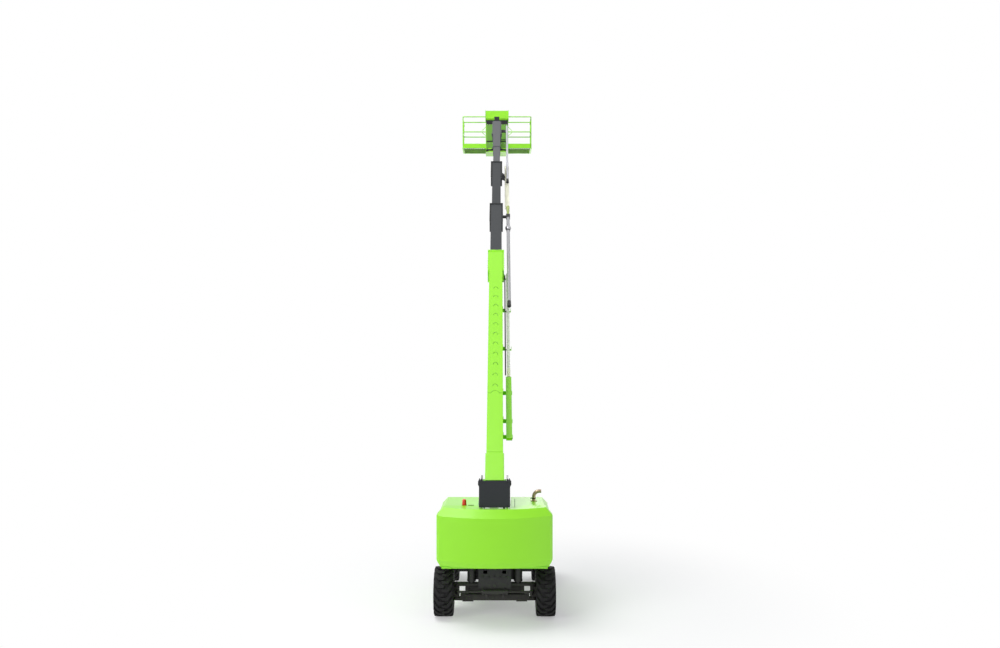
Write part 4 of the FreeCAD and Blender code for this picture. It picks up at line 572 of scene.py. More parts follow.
def tread_lug(side):
    """One curved lug with sloping flanks, from the tread's middle over the shoulder."""
    shape = bmesh.new()
    rows = []
    for (low_in, low_round), (high_in, high_round), drop in lug_edges:
        top = tyre_radius - 0.001 + drop
        foot = tread_radius + drop - foot_depth
        rows.append([
            shape.verts.new(tread_point(side, low_in, low_round - flank_spread, foot)),
            shape.verts.new(tread_point(side, low_in, low_round, top)),
            shape.verts.new(tread_point(side, high_in, high_round, top)),
            shape.verts.new(tread_point(side, high_in, high_round + flank_spread, foot)),
        ])
    for first, second in zip(rows, rows[1:]):
        add_strip(shape, first, second)
    shape.faces.new(rows[0])
    shape.faces.new(rows[-1])
    return shape


def wheel_nut():
    """A hexagon nut on its cone, with its stud's end standing out of it."""
    shape = bmesh.new()
    add_round(shape, [(0, 0), (0, 0.021), (0.006, 0.019), (0.006, 0)], (0, 0, 0), X, 20)
    add_drum(shape, (0.006, 0.024), 0.016, (0, 0, 0), X, 6)
    add_round(shape, [(0.024, 0), (0.024, 0.009), (0.034, 0.008), (0.034, 0)], (0, 0, 0), X, 12)
    return shape


# The sidewall from bead to shoulder: (in from the tyre's face, radius).
sidewall = [
    (0.018, 0.222), (0.006, 0.240), (0.004, 0.262), (-0.004, 0.275), (-0.007, 0.330),
    (-0.006, 0.372), (0.000, 0.404), (0.010, 0.424), (0.028, 0.441), (0.060, 0.452),
]
least_inset = 0.0005
sidewall = [(max(inset, least_inset), radius) for inset, radius in sidewall]
carcass_profile = [(inset - half_tyre, radius) for inset, radius in sidewall]
carcass_profile += [(half_tyre - inset, radius) for inset, radius in reversed(sidewall)]
rim_profile = [
    (-0.030, 0.206), (-0.030, 0.232), (-0.012, 0.240), (0.0, 0.236), (0.002, 0.224), (-0.006, 0.212),
]
cap_profile = [(0.108, 0.0), (0.108, 0.098), (0.116, 0.090), (0.122, 0.070), (0.122, 0.0)]
rim_edge_in = 0.004
disc_out = 0.155 - half_tyre
nut_out, nut_circle, nut_count = disc_out + 0.0303, 0.155, 10
cap_bolt_out, cap_bolt_circle, cap_bolt_count = disc_out + 0.117, 0.082, 8
first_lug = math.radians(7.0)
wheel_sides = {"steer_right": 1, "steer_left": -1, "fixed_right": 1, "fixed_left": -1}
for name, side in wheel_sides.items():
    axle = Vector(joints[f"wheel_{name}_spin"]["pos_m"])
    outward = X * side
    body = f"wheel_{name}"
    tread = bmesh.new()
    add_round(tread, carcass_profile, axle, X, 76)
    carcass = finished(f"tyre_carcass_{name}", tread, rubber, body, smooth=True)
    for row, row_side, start in (("outer", side, first_lug), ("inner", -side, first_lug + lug_angle / 2)):
        copied(
            f"tyre_{row}_lugs_{name}", tread_lug(row_side), rubber, body, lugs_per_side, axle,
            first_turn=(start, 0, 0), turn=(lug_angle, 0, 0), smooth=True,
        )
    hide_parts(f"tyre_{name}")
    rim_edge = bmesh.new()
    add_round(rim_edge, rim_profile, axle + outward * (half_tyre - rim_edge_in), outward, 64)
    finished(f"rim_edge_{name}", rim_edge, rim_paint, body, smooth=True)
    nuts = wheel_nut()
    bmesh.ops.scale(nuts, vec=(side, 1, 1), verts=nuts.verts[:])
    bmesh.ops.translate(nuts, vec=(0, 0, nut_circle), verts=nuts.verts[:])
    copied(
        f"wheel_nuts_{name}", nuts, bolt_steel, body, nut_count,
        axle + outward * nut_out, turn=(2 * math.pi / nut_count, 0, 0),
    )
    hub_cap = bmesh.new()
    add_round(hub_cap, cap_profile, axle + outward * disc_out, outward, 40)
    finished(f"hub_cap_{name}", hub_cap, rim_paint, body, smooth=True)
    copied(
        f"hub_cap_bolts_{name}", bolt_head(0.008, 0.008, outward, (0, 0, cap_bolt_circle)), bolt_steel, body,
        cap_bolt_count, axle + outward * cap_bolt_out, turn=(2 * math.pi / cap_bolt_count, 0, 0),
    )
finish_nodes(rim_paint, *(f"rim_{name}" for name in wheel_sides))
finish_nodes(rubber, *(f"tyre_{name}" for name in wheel_sides))

# ---------------------------------------------------------------- turntable and counterweight
# A slewing deck of steel plate carries two uprights for the boom and a cast iron
# counterweight. All of it is glossy lime green, but for the black heads of the uprights.

# Edges of the green paint turn a brighter lime: partly wear, partly a painted edge highlight.
lime, worn_and_highlit_lime = (0.285, 0.76, 0.010), (0.40, 0.88, 0.12)
green_paint = paint("green_paint", lime, 0.28, 0.25, worn_and_highlit_lime, 0.5, dust=0.12)
casting_paint = paint("casting_paint", lime, 0.34, 0.15, worn_and_highlit_lime, 0.5, peel=0.06, dust=0.12)
head_level = 2.64


def black_headed(name):
    """Green paint that gives way to black on the uprights' heads."""
    material = paint(name, lime, 0.28, 0.25, worn_and_highlit_lime, 0.5, dust=0.12)
    tree = material.node_tree
    surface = tree.nodes["Principled BSDF"]
    green = surface.inputs["Base Color"].links[0].from_socket
    height = shader_node(tree, "SeparateXYZ", {0: object_place(tree)}).outputs["Z"]
    head_mask = share_between(tree, height, head_level - 0.002, head_level + 0.002)
    plug(tree, surface, {"Base Color": mixed_colour(tree, head_mask, green, (0.020, 0.021, 0.022, 1))})
    return material


finish_nodes(black_headed("upright_paint"), "turntable_frame")
finish_nodes(casting_paint, "counterweight")

black_steel = paint("black_steel", (0.014, 0.015, 0.016), 0.42, 0.0, (0.10, 0.10, 0.10), 0.4, shine=0.25)
pivot_pin = Vector(joints["luff"]["pos_m"])
lift_pin = Vector(joints["lift_barrel_swing"]["pos_m"])
both_sides = (("right", 1), ("left", -1))


def pin_cap(name, centre, face, radius, height, body, screws=3):
    """The round keeper plate on each end of a pin, held by a ring of screws."""
    plate = [(0, 0), (0, radius), (height * 0.6, radius), (height, radius * 0.88), (height, 0)]
    caps = bmesh.new()
    for side in (-1, 1):
        add_round(caps, plate, (side * face, centre.y, centre.z), (side, 0, 0), 36)
    finished(name, caps, black_steel, body, smooth=True)
    for label, side in both_sides:
        copied(
            f"{name}_screws_{label}",
            bolt_head(radius * 0.13, radius * 0.12, (side, 0, 0), (0, 0, radius * 0.62)),
            bolt_steel, body, screws,
            (side * (face + height), centre.y, centre.z), turn=(2 * math.pi / screws, 0, 0),
        )


pin_cap("pivot_pin_caps", pivot_pin, 0.310, 0.052, 0.012, "turntable")
pin_cap("lift_pin_caps", lift_pin, 0.290, 0.045, 0.010, "turntable")

hood_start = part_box("hood_right")[0][1]
for label, side in both_sides:
    copied(
        f"deck_edge_bolts_{label}", bolt_head(0.012, 0.010, Z), bolt_steel, "turntable",
        6, (side * 0.29, hood_start + 0.25, 1.14), step=(0, 0.40, 0),
    )

# ---------------------------------------------------------------- hoods and their doors
# Sheet steel hoods over the engine and the tanks, each with a lift-up door. The doors have
# pressed louvres that stand out of the sheet and a flush lock at their lower edge.

finish_nodes(green_paint, "hood_right", "hood_left", "door_right", "door_left")
engine_paint = paint("engine_paint", (0.10, 0.105, 0.11), 0.5, 0.0, (0.2, 0.2, 0.2), 0.4)
finish_nodes(engine_paint, "engine_block")


def louvre(side, length=0.34, height=0.030, depth=0.009):
    """A pressed louvre: a sloping lip with closed ends and an open lower edge."""
    shape = bmesh.new()
    half, end_slope = length / 2, 0.018
    across = [(-half, 0.0), (end_slope - half, 1.0), (half - end_slope, 1.0), (half, 0.0)]
    upper = [shape.verts.new((0, along, height)) for along, _ in across]
    lower = [shape.verts.new((side * depth * out, along, 0.004 * (1 - out))) for along, out in across]
    back = [shape.verts.new((0, along, 0.0)) for along, _ in across]
    for index in range(3):
        for first, second in ((upper, lower), (lower, back), (back, upper)):
            shape.faces.new((first[index], first[index + 1], second[index + 1], second[index]))
    shape.faces.new((upper[0], lower[0], back[0]))
    shape.faces.new((upper[3], back[3], lower[3]))
    return shape


door_out = 1.0752
lock_profile = [
    (0, 0), (0, 0.032), (0.004, 0.032), (0.006, 0.028), (0.003, 0.022), (0.003, 0.010), (0.007, 0.009),
    (0.007, 0),
]
for label, side in both_sides:
    door_low, door_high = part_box(f"door_{label}")
    door_middle = (door_low[1] + door_high[1]) / 2
    for column, offset in (("rear", -0.36), ("front", 0.36)):
        copied(
            f"door_louvres_{label}_{column}", louvre(side), green_paint, f"door_{label}",
            7, (side * door_out, door_middle + offset, 1.62), step=(0, 0, 0.052),
        )
    lock = bmesh.new()
    add_round(lock, lock_profile, (side * door_out, door_middle - 0.30, 1.33), (side, 0, 0), 28)
    finished(f"door_lock_{label}", lock, black_steel, f"door_{label}", smooth=True)

# ---------------------------------------------------------------- rear cover
# A bent steel cover, near-black and matt, over the hose loop behind the boom's foot, held by a screw near
# each corner. Two pale blocks under it are painted light: the light seen through two slots at its foot.

cover_paint = paint("cover_paint", (0.024, 0.027, 0.030), 0.5, 0.0, (0.10, 0.10, 0.10), 0.35, shine=0.25)
finish_nodes(cover_paint, "rear_cover")
cover_low, cover_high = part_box("rear_cover")
slot_light_paint = fine_marked("slot_light_paint", (0.80, 0.80, 0.82), 0.45, 60.0, metallic=0.0)
# Pale blocks under the cover: painted light seen through its slots.
slot_light_blocks = bmesh.new()
for low_x, high_x in ((-0.185, -0.100), (0.076, 0.160)):
    add_block(slot_light_blocks, (low_x, 0.0, 0.0), (high_x, 0.014, 0.022), (0, cover_low[1] - 0.001, 2.337))
finished("cover_slot_light_blocks", slot_light_blocks, slot_light_paint, "turntable")
screw_out = 0.245
for label, height in (("low", 2.40), ("high", 2.84)):
    copied(
        f"cover_screws_{label}", bolt_head(0.009, 0.007, -Y), black_steel, "turntable",
        2, (-screw_out, cover_low[1], height), step=(2 * screw_out, 0, 0),
    )

# ---------------------------------------------------------------- beacon and exhaust
# A ribbed red lens on a black rubber base, with a thin stay beside it. The exhaust's bend is brownish bare
# steel, held in a band clamp.


def glossy_plastic(name, colour, roughness):
    """Moulded plastic with a faint cloudiness."""
    material, tree, surface = new_material(name)
    cloud = noise_of(tree, object_place(tree), 30.0, 3.0)
    darker = (*(0.88 * channel for channel in colour), 1)
    plug(tree, surface, {
        "Base Color": mixed_colour(tree, cloud, darker, (*colour, 1)),
        "Roughness": shader_math(tree, "ADD", shader_math(tree, "MULTIPLY", cloud, 0.1), roughness),
    })
    return material


beacon_red = glossy_plastic("beacon_red", (0.86, 0.045, 0.018), 0.15)
black_rubber = glossy_plastic("black_rubber", (0.018, 0.018, 0.019), 0.55)
finish_nodes(beacon_red, "beacon")
beacon_low, beacon_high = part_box("beacon")
beacon_tall = beacon_high[2] - beacon_low[2]
beacon_foot = (Vector(beacon_low) + Vector(beacon_high)) / 2
beacon_foot.z = beacon_low[2]
lens = bmesh.new()
lens_profile = [(0.016, 0), (0.016, 0.046)]
for ring in range(9):
    height, radius = 0.020 + ring * 0.011, 0.0455 - ring * 0.0008
    lens_profile += [(height, radius), (height + 0.0055, radius - 0.002)]
lens_profile += [(0.124, 0.036), (0.134, 0.026), (0.140, 0.013), (beacon_tall, 0)]
add_round(lens, lens_profile, beacon_foot, Z, 40)
lens_piece = finished("beacon_lens", lens, beacon_red, "turntable", smooth=True)
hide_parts("beacon")
base = bmesh.new()
base_profile = [
    (0, 0), (0, 0.055), (0.006, 0.055), (0.010, 0.050), (0.022, 0.049), (0.024, 0.046), (0.024, 0),
]
add_round(base, base_profile, beacon_foot, Z, 40)
finished("beacon_base", base, black_rubber, "turntable", smooth=True)
stay = bmesh.new()
stay_start = beacon_foot + Vector((0.052, -0.02, 0.010))
stay_knee = beacon_foot + Vector((0.085, -0.055, 0.030))
add_bar(stay, stay_start, stay_knee, 0.004, 10)
add_block(stay, (0.080, -0.060, 0.026), (0.190, -0.048, 0.034), beacon_foot)
finished("beacon_stay", stay, black_steel, "turntable")

exhaust_steel = fine_marked("exhaust_steel", (0.40, 0.30, 0.21), 0.22, 26.0)
finish_nodes(exhaust_steel, "exhaust_pipe")
exhaust_low, exhaust_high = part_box("exhaust_pipe")
clamp_place = Vector((0.790, (exhaust_low[1] + exhaust_high[1]) / 2, exhaust_low[2] + 0.055))
clamp = bmesh.new()
add_round(clamp, [(-0.009, 0.035), (-0.009, 0.040), (0.009, 0.040), (0.009, 0.035)], clamp_place, Z, 36)
add_block(clamp, (-0.066, -0.010, -0.008), (-0.038, 0.010, 0.008), clamp_place)
finished("exhaust_clamp", clamp, black_steel, "turntable", smooth=True)

side_bracket = bmesh.new()
bracket_place = Vector((0.335, cover_high[1] + 0.045, 2.335))
add_block(side_bracket, (0.052, 0.0, 0.0), (0.060, 0.014, 0.150), bracket_place)
finished("side_bracket", side_bracket, black_steel, "turntable")

# ---------------------------------------------------------------- telescopic boom
# Four welded box sections, one inside the other. The base is glossy green, with a doubler
# plate round its foot and a row of weld beads on top; the inner ones are painted grey.

section_paint = paint(
    "section_paint", (0.052, 0.055, 0.058), 0.45, 0.0, (0.16, 0.16, 0.17), 0.4, shine=0.22
)
fly_paint = paint("fly_paint", (0.125, 0.129, 0.134), 0.45, 0.0, (0.28, 0.28, 0.29), 0.4, shine=0.25)
finish_nodes(green_paint, "base_boom")
finish_nodes(section_paint, "boom_section_2", "boom_section_3")
finish_nodes(fly_paint, "fly_boom")
finish_nodes(cylinder_paint, "lift_cylinder", "level_cylinder", "jib_cylinder")
rod_chrome = fine_marked("rod_chrome", (0.72, 0.73, 0.75), 0.12, 160.0)
finish_nodes(rod_chrome, "lift_rod", "level_rod", "jib_rod")

boom_along = Vector(joints["telescope_2"]["axis"])
boom_up = boom_along.cross(X) * -1
boom_axes = (X, boom_along, boom_up)
base_top = 0.220


def on_boom(across, along, up):
    """A point by its place across the boom, along it from the foot pin, and above its middle line."""
    return pivot_pin + X * across + boom_along * along + boom_up * up


def add_boom_block(shape, low, high):
    """Adds a block that lies square to the boom, between two corners."""
    add_block(shape, low, high, pivot_pin, boom_axes)


def add_boom_plate(shape, outline, low, high):
    """Adds a flat plate on the boom: its outline as (across, along), and its two levels."""
    lower, upper = ([shape.verts.new(on_boom(x, u, level)) for x, u in outline] for level in (low, high))
    shape.faces.new(lower)
    shape.faces.new(upper)
    add_strip(shape, lower, upper)


bead_across, bead_along, bead_half_width, bead_rise = 0.056, 0.095, 0.0085, 0.005
weld_bead = bmesh.new()
bead_rings = []
for angle in (math.radians(degrees) for degrees in range(8, 173, 12)):
    outward = X * math.cos(angle) + boom_along * math.sin(angle)
    middle = X * math.cos(angle) * bead_across + boom_along * (math.sin(angle) * bead_along - 0.045)
    bead_rings.append([
        weld_bead.verts.new(middle + outward * out * bead_half_width + boom_up * rise)
        for out, rise in ((-1, 0.0), (-0.6, bead_rise), (0.6, bead_rise), (1, 0.0))
    ])
for first, second in zip(bead_rings, bead_rings[1:]):
    add_strip(weld_bead, first, second)
weld_bead.faces.new(bead_rings[0])
weld_bead.faces.new(bead_rings[-1])
bead_paint = paint("bead_paint", (0.13, 0.42, 0.008), 0.40, 0.1, (0.30, 0.70, 0.06), 0.2)
copied(
    "base_weld_beads", weld_bead, bead_paint, "base_section",
    11, on_boom(0, 2.58, base_top), step=boom_along * 0.357, smooth=True,
)

# The doubler plate wraps the base's top and ends in a hump in its middle.
plate_half, plate_start, plate_edge = 0.1655, 0.62, 2.34
hump_half, hump_rise = 0.090, 0.075
end_edge = [(-plate_half, plate_edge), (-0.115, plate_edge)]
for index in range(9):
    angle = math.pi * index / 8
    end_edge.append((-math.cos(angle) * hump_half, plate_edge + math.sin(angle) ** 1.5 * hump_rise))
end_edge += [(0.115, plate_edge), (plate_half, plate_edge)]
plate = bmesh.new()
plate_outline = [(-plate_half, plate_start), *end_edge, (plate_half, plate_start)]
add_boom_plate(plate, plate_outline, base_top - 0.002, base_top + 0.006)
finished("base_doubler_plate", plate, green_paint, "base_section")
plate_weld = bmesh.new()
for start, end in zip(end_edge, end_edge[1:]):
    add_bar(plate_weld, on_boom(*start, base_top + 0.003), on_boom(*end, base_top + 0.003), 0.0075, 8)
finished("base_plate_weld", plate_weld, bead_paint, "base_section", smooth=True)

# Each section's mouth has a collar held by rows of screws, which also set its wear pads:
# the collar's body, its head along the boom, its bore's and its own half width, and its top.
collars = (
    ("base_section", 7.83, 0.1675, 0.208, 0.220),
    ("section_2", 10.23, 0.150, 0.183, 0.195),
    ("section_3", 12.74, 0.125, 0.168, 0.170),
)
for body, head, inner_width, half_width, top in collars:
    for label, side in both_sides:
        copied(
            f"{body}_side_screws_{label}", bolt_head(0.011, 0.008, (side, 0, 0)), bolt_steel, body,
            5, on_boom(side * half_width, head - 0.62, top * 0.45), step=boom_along * 0.10,
        )

# A flange frames the two grey sections' mouths, and strips run back from it along both sides of the collar.
# All are black as painted shade: the flange's rear face and the collar's shaded side plates.
strip_length, flange_length = 0.93, 0.046
for body, head, inner_width, half_width, top in collars[1:]:
    mouth_shade_blocks = bmesh.new()
    flange = half_width + 0.004
    flange_foot = head - flange_length
    add_boom_block(mouth_shade_blocks, (-flange, flange_foot, top + 0.010), (flange, head + 0.001, top + 0.018))
    for side in (-1, 1):
        near_edge, far_edge = sorted((side * (inner_width - 0.004), side * flange))
        strip_low = (near_edge, head - strip_length, top - 0.012)
        add_boom_block(mouth_shade_blocks, strip_low, (far_edge, flange_foot, top + 0.004))
    # Black steel here is painted shade on the mouth's flange and side plates.
    finished(f"{body}_mouth_painted_shade", mouth_shade_blocks, black_steel, body)

# ---------------------------------------------------------------- hose carrier
# A covered steel tray and two pale tubes carry the hoses and cables along the boom, and cream
# plastic energy chains fold between them.

finish_nodes(green_paint, "hose_tray")
tube_paint = paint("tube_paint", (0.37, 0.37, 0.38), 0.38, 0.05, (0.6, 0.6, 0.62), 0.4)
pale_tube_paint = paint("pale_tube_paint", (0.62, 0.62, 0.66), 0.38, 0.05, (0.75, 0.75, 0.78), 0.4)
finish_nodes(tube_paint, "lower_hose_tube")
finish_nodes(pale_tube_paint, "upper_hose_tube")
chain_plastic = glossy_plastic("chain_plastic", (1.0, 1.0, 0.78), 0.45)
white_chain_plastic = glossy_plastic("white_chain_plastic", (1.0, 1.0, 0.94), 0.45)
finish_nodes(white_chain_plastic, "lower_energy_chain")
finish_nodes(chain_plastic, "upper_energy_chain")
tray_blocks = bmesh.new()
for low_along, high_along in ((3.27, 3.39), (3.41, 3.53)):
    add_boom_block(tray_blocks, (0.262, low_along, -0.196), (0.338, high_along, -0.120))
finished("tray_end_blocks", tray_blocks, chain_plastic, "base_section")
rail_strip = bmesh.new()
add_boom_block(rail_strip, (0.214, 3.30, -0.130), (0.244, 7.16, -0.110))
finished("tray_rail_strip", rail_strip, black_rubber, "base_section")

# Round fittings on the tubes: rubber-lined clamps, end sleeves, a flared mouth and a shoe.
tube_out, lower_tube_up, upper_tube_up = 0.330, 0.052, -0.048
tube_band = bmesh.new()
band = [
    (-0.020, 0.045), (-0.020, 0.051), (-0.014, 0.054), (0.014, 0.054), (0.020, 0.051), (0.020, 0.045),
]
add_round(tube_band, band, on_boom(tube_out, 9.04, lower_tube_up), boom_along, 28)
finished("lower_tube_bands", tube_band, black_rubber, "section_2", smooth=True)
lower_ends = bmesh.new()
lower_sleeve = [
    (-0.015, 0.0), (-0.015, 0.034), (0.0, 0.050), (0.045, 0.050), (0.050, 0.047), (0.185, 0.047),
    (0.190, 0.045), (0.190, 0.0),
]
add_round(lower_ends, lower_sleeve, on_boom(tube_out, 5.63, lower_tube_up), boom_along, 28)
add_boom_block(lower_ends, (0.180, 9.705, 0.030), (0.276, 9.795, 0.074))
for low_x, high_x in ((0.2735, 0.2765), (0.3835, 0.3865)):
    add_boom_block(lower_ends, (low_x, 9.68, 0.000), (high_x, 9.82, 0.109))
add_boom_block(lower_ends, (0.2735, 9.68, 0.106), (0.3865, 9.82, 0.110))
finished("lower_tube_ends", lower_ends, black_rubber, "section_2", smooth=True)
upper_ends = bmesh.new()
upper_sleeve = [
    (-0.012, 0.0), (-0.012, 0.044), (0.070, 0.040), (0.120, 0.034), (0.150, 0.0345), (0.150, 0.0),
]
add_round(upper_ends, upper_sleeve, on_boom(tube_out, 11.88, upper_tube_up), boom_along, 28)
add_boom_block(upper_ends, (0.150, 15.144, -0.066), (0.296, 15.286, -0.030))
finished("upper_tube_ends", upper_ends, black_rubber, "fly_section", smooth=True)
tube_flare = bmesh.new()
flare = [(-0.14, 0.044), (-0.05, 0.050), (-0.012, 0.060), (0.0, 0.080), (0.036, 0.080), (0.036, 0.044)]
add_round(tube_flare, flare, on_boom(tube_out, 9.148, lower_tube_up), boom_along, 32)
flare_steel = fine_marked("flare_steel", (0.50, 0.50, 0.52), 0.35, 70.0)
finished("lower_tube_flare", tube_flare, flare_steel, "section_2", smooth=True)

# The upper chain's links are moulded side plates joined by cross bars, each with a pin.
chain_link = bmesh.new()
link_pitch, link_half, plate_half_thick = 0.0625, 0.058, 0.004
for side in (-1, 1):
    plate_x = side * link_half
    add_block(
        chain_link,
        (plate_x - plate_half_thick, 0.002, -0.002),
        (plate_x + plate_half_thick, link_pitch - 0.006, 0.034),
        axes=boom_axes,
    )
    pin_place = X * side * (link_half + plate_half_thick) + boom_along * 0.012 + boom_up * 0.016
    add_drum(chain_link, (0, 0.003), 0.008, pin_place, (side, 0, 0), 12)
add_block(chain_link, (-link_half, 0.014, 0.026), (link_half, 0.046, 0.034), axes=boom_axes)
copied(
    "upper_chain_links", chain_link, chain_plastic, "section_3",
    40, on_boom(0.310, 10.44, -0.128), step=boom_along * link_pitch, smooth=True,
)
chain_bracket = bmesh.new()
bracket_outline = [(0.125, 12.10), (0.245, 12.02), (0.262, 12.22), (0.205, 12.44), (0.168, 12.44)]
add_boom_plate(chain_bracket, bracket_outline, -0.086, -0.060)
finished("upper_chain_bracket", chain_bracket, black_steel, "section_3")
guide_shoe = bmesh.new()
shoe = [
    (0.0, 0.0), (0.0, 0.036), (0.16, 0.038), (0.26, 0.045), (0.46, 0.046), (0.46, 0.040), (0.30, 0.038),
    (0.30, 0.0),
]
add_round(guide_shoe, shoe, on_boom(tube_out, 9.82, 0.058), boom_along, 12)
shoe_plastic = glossy_plastic("shoe_plastic", (0.42, 0.50, 0.16), 0.5)
finished("chain_guide_shoe", guide_shoe, shoe_plastic, "section_2")

# ---------------------------------------------------------------- lift cylinder
# A honed steel barrel with a screwed gland; a hard steel pipe runs along it to the rod end's
# port, held by four clips.

lift_axis = Vector(joints["lift_rod_slide"]["axis"])
lift_side = lift_axis.cross(X)
lift_radius, pipe_start, pipe_end, pipe_radius = 0.085, 0.30, 1.66, 0.009
pipe_line = lift_pin + lift_side * (lift_radius + 0.012)
lift_pipe = bmesh.new()
add_bar(lift_pipe, pipe_line + lift_axis * pipe_start, pipe_line + lift_axis * pipe_end, pipe_radius, 10)
clip_low, clip_high = (-0.016, -0.012, lift_radius - 0.004), (0.016, 0.012, lift_radius + 0.024)
for along in (0.36, 0.78, 1.20, 1.60):
    add_block(lift_pipe, clip_low, clip_high, lift_pin + lift_axis * along, (X, lift_axis, lift_side))
finished("lift_cylinder_pipe", lift_pipe, cylinder_paint, "lift_barrel")

# ---------------------------------------------------------------- fly head, jib base and jib
# Black cast and welded links on bushed pins; each pin has a round keeper plate at both ends.

finish_nodes(cover_paint, "jib_base", "platform_support")
finish_nodes(fly_paint, "jib_arm", "jib_link")
base_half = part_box("jib_base")[1][0]
support_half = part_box("platform_support")[1][0]
for name, joint, face, radius, body in (
    ("jib_pin_caps", "jib_luff", base_half, 0.038, "jib_base"),
    ("link_pin_caps", "jib_link_swing", base_half, 0.030, "jib_base"),
    ("support_pin_caps", "platform_support_swing", support_half, 0.036, "platform_support"),
):
    pin_cap(name, Vector(joints[joint]["pos_m"]), face, radius, 0.008, body)

# ---------------------------------------------------------------- platform
# A welded basket of green tube with a serrated steel grating under its floor. Black bars cross
# its bracket's panel, pale strips edge the floor, and two posts carry black clamps.

finish_nodes(green_paint, "platform_bracket", "platform_rails", "platform_gate", "platform_floor")
grating_steel = paint("grating_steel", (0.16, 0.36, 0.030), 0.5, 0.0, (0.35, 0.38, 0.35), 0.6)
floor_low, floor_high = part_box("platform_floor")
rib_count, rib_foot = 21, floor_low[2] + 0.006
ribs_half = floor_high[0] - 0.07
rib = bmesh.new()
add_block(rib, (-0.006, floor_low[1] + 0.045, -0.016), (0.006, floor_high[1] - 0.045, 0.0))
copied(
    "grating_ribs", rib, grating_steel, "platform",
    rib_count, (-ribs_half, 0, rib_foot), step=(2 * ribs_half / (rib_count - 1), 0, 0),
)
cross_half = floor_high[0] - 0.06
cross_rib = bmesh.new()
add_block(cross_rib, (-cross_half, -0.005, -0.012), (cross_half, 0.005, 0.0))
copied(
    "grating_cross_ribs", cross_rib, grating_steel, "platform",
    9, (0, floor_low[1] + 0.09, rib_foot), step=(0, 0.091, 0),
)

# Black blocks paint the shade inside the grating's openings, in rows of (in from the edge, half width, depth,
# shift, number).
first_opening, opening_step = -1.134, 0.0782
opening_rows = (
    (0.012, 0.020, 0.180, 0.0, 30),
    (0.30, 0.014, 0.060, 0.039, 29),
    (0.46, 0.014, 0.060, 0.0, 29),
    (0.62, 0.014, 0.060, 0.039, 29),
)
for row, (row_y, half, depth, shift, number) in enumerate(opening_rows):
    opening = bmesh.new()
    add_block(opening, (-half, 0.0, 0.0), (half, depth, 0.004))
    row_start = (first_opening + shift, floor_low[1] + row_y, floor_low[2] - 0.0035)
    copied(
        f"grating_opening_shade_{row}", opening, black_steel, "platform",
        number, row_start, step=(opening_step, 0, 0),
    )
# Black ticks along the floor's near edge are painted shade in the grating's openings seen at the edge.
edge_shade_tick = bmesh.new()
add_block(edge_shade_tick, (-0.019, -0.0035, 0.0), (0.019, 0.0, 0.016))
copied(
    "grating_edge_shade_ticks", edge_shade_tick, black_steel, "platform",
    30, (first_opening, floor_low[1] - 0.0032, floor_low[2]), step=(opening_step, 0, 0),
)
pale_edge = paint("pale_edge", (0.62, 0.64, 0.60), 0.45, 0.0, (0.3, 0.3, 0.3), 0.4)
edge_strip = bmesh.new()
for low_x, high_x in ((-1.19, -0.42), (0.42, 1.19)):
    strip_place = (0, floor_low[1] + 0.001, floor_low[2] + 0.004)
    add_block(edge_strip, (low_x, -0.004, 0.0), (high_x, 0.002, 0.018), strip_place)
finished("floor_edge_strip", edge_strip, pale_edge, "platform")

# The bracket's panel is a darker green than the lime paint: painted shade on the recessed face under the
# console.
panel_painted_shade = paint("panel_painted_shade", (0.125, 0.33, 0.030), 0.5, 0.0, (0.30, 0.45, 0.15), 0.4)
bracket_face = 6.8740
panel_low, panel_high, panel_half = 12.080, 12.915, 0.378
bracket_panels = bmesh.new()
add_block(
    bracket_panels,
    (-panel_half, bracket_face - 0.004, panel_low),
    (panel_half, bracket_face, panel_high),
)
finished("bracket_panels", bracket_panels, panel_painted_shade, "platform")
bracket_bars_and_shade_band = bmesh.new()
for low_x, high_x, low_z, high_z in (
    (-0.378, 0.378, 12.300, 12.336),
    (0.110, 0.378, 12.366, 12.388),
    # This wide black band under the console is painted shade, not a bar.
    (-0.384, 0.384, 12.920, 13.062),
    (-0.395, 0.395, 11.992, 12.040),
):
    add_block(bracket_bars_and_shade_band, (low_x, bracket_face - 0.016, low_z), (high_x, bracket_face - 0.002, high_z))
for side in (-1, 1):
    strut_start = (side * 0.10, bracket_face - 0.012, 12.075)
    strut_end = (side * 0.385, bracket_face - 0.012, 11.965)
    add_bar(bracket_bars_and_shade_band, strut_start, strut_end, 0.016, 10)
finished("bracket_bars_and_shade_band", bracket_bars_and_shade_band, black_steel, "platform")
for label, level in (("upper", 12.90), ("lower", 12.25)):
    copied(
        f"bracket_screws_{label}", bolt_head(0.010, 0.008, -Y), bolt_steel, "platform",
        6, (-0.27, bracket_face - 0.003, level), step=(0.108, 0, 0),
    )

rail_low, rail_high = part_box("platform_rails")
near_rail = rail_low[1] + 0.018
braces = bmesh.new()
for side in (-1, 1):
    for start_z, end_z in ((12.835, 12.700), (12.520, 12.640)):
        add_bar(braces, (side * 0.392, near_rail, start_z), (side * 0.530, near_rail, end_z), 0.009, 10)
finished("rail_braces", braces, green_paint, "platform", smooth=True)
post_clamps = bmesh.new()
post_x = rail_high[0] - 0.0215
post_band = [(-0.022, 0.016), (-0.022, 0.021), (0.022, 0.021), (0.022, 0.016)]
for post_y in (near_rail + 0.102, rail_high[1] - 0.138):
    for level in (12.655, 13.120):
        add_round(post_clamps, post_band, (post_x, post_y, level), Z, 24)
finished("post_clamps", post_clamps, black_rubber, "platform", smooth=True)

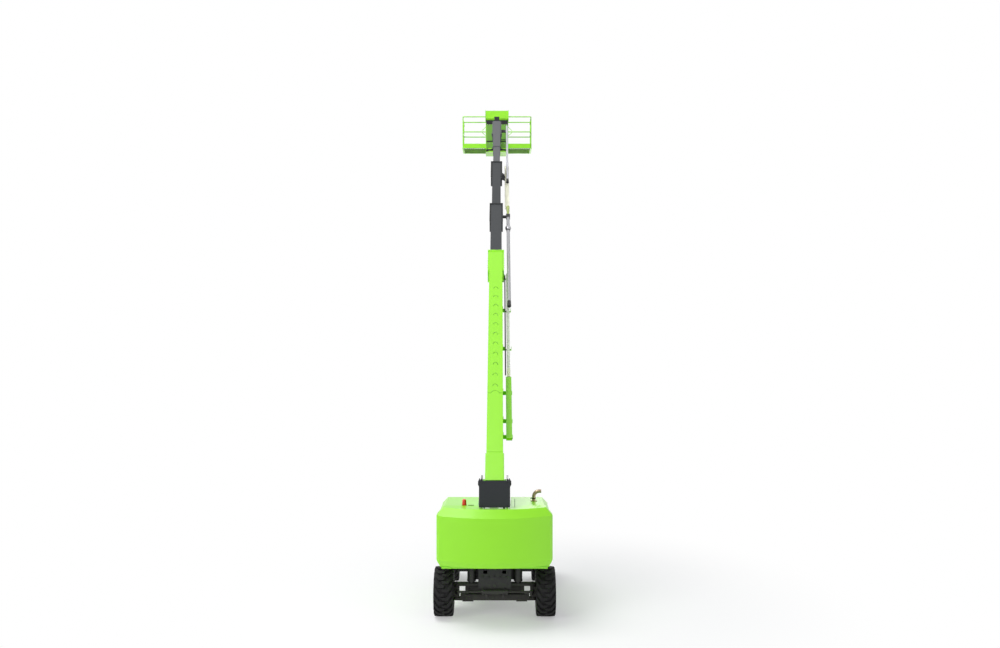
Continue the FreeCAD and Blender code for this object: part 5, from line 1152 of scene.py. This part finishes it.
gate_low, gate_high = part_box("platform_gate")
gate_middle = (gate_low[0] + gate_high[0]) / 2
latch = bmesh.new()
latch_place = (gate_middle, gate_low[1] + 0.034, 12.95)
add_block(latch, (-0.011, 0.0, -0.030), (0.011, 0.060, 0.030), latch_place)
add_drum(latch, (0, 0.07), 0.006, (gate_middle, gate_low[1] + 0.060, 12.97), Z, 12)
finished("gate_latch", latch, black_steel, "gate")

# ---------------------------------------------------------------- control console
# A folded steel housing between two raised cheeks. Its sloping top carries two joysticks in
# rubber boots, a stop button, a key switch and a row of toggles.

finish_nodes(green_paint, "control_console")
console_low, console_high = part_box("control_console")
slope_top = Vector((0, console_low[1] + 0.065, console_high[2] - 0.035))
slope_down = Vector((0, 0.280, -0.130)).normalized()
slope_out = slope_down.cross(X) * -1
slope_axes = (X, slope_down, slope_out)
panel_thick = 0.003


def on_panel(across, down):
    """A point on the face of the sloping panel."""
    return slope_top + X * across + slope_down * down + slope_out * panel_thick


control_panel = bmesh.new()
add_block(control_panel, (-0.375, 0.020, -0.001), (0.375, 0.292, panel_thick), slope_top, slope_axes)
finished("control_panel", control_panel, black_steel, "platform")
boot_profile = [(0.0, 0.0), (0.0, 0.042)]
for fold in range(4):
    height, radius = 0.006 + fold * 0.009, 0.036 - fold * 0.006
    boot_profile += [(height, radius), (height + 0.004, radius - 0.004)]
boot_profile += [(0.046, 0.009), (0.046, 0.0)]
stick_profile = [
    (0.040, 0.0), (0.040, 0.007), (0.070, 0.007), (0.076, 0.014), (0.100, 0.016), (0.112, 0.011),
    (0.114, 0.0),
]
boots = bmesh.new()
sticks = bmesh.new()
for across in (-0.24, 0.24):
    add_round(boots, boot_profile, on_panel(across, 0.18), slope_out, 28)
    add_round(sticks, stick_profile, on_panel(across, 0.18), slope_out, 20)
finished("joystick_boots", boots, black_rubber, "platform", smooth=True)
finished("joysticks", sticks, black_steel, "platform", smooth=True)
stop_button = bmesh.new()
button_profile = [
    (0, 0), (0, 0.016), (0.014, 0.016), (0.016, 0.022), (0.024, 0.022), (0.028, 0.017), (0.029, 0),
]
add_round(stop_button, button_profile, on_panel(-0.08, 0.12), slope_out, 28)
finished("stop_button", stop_button, beacon_red, "platform", smooth=True)
key_switch = bmesh.new()
lock_barrel = [(0, 0), (0, 0.013), (0.006, 0.013), (0.008, 0.010), (0.008, 0)]
add_round(key_switch, lock_barrel, on_panel(0.0, 0.12), slope_out, 24)
add_block(key_switch, (-0.0015, -0.006, 0.008), (0.0015, 0.006, 0.022), on_panel(0.0, 0.12), slope_axes)
finished("key_switch", key_switch, bolt_steel, "platform", smooth=True)
toggle = bmesh.new()
add_drum(toggle, (0, 0.004), 0.009, (0, 0, 0), slope_out, 6)
lever = [(0.004, 0), (0.004, 0.003), (0.022, 0.0042), (0.025, 0.0025), (0.0255, 0)]
add_round(toggle, lever, (0, 0, 0), slope_out, 10)
copied(
    "toggle_switches", toggle, bolt_steel, "platform",
    6, on_panel(-0.125, 0.235), step=(0.05, 0, 0), smooth=True,
)
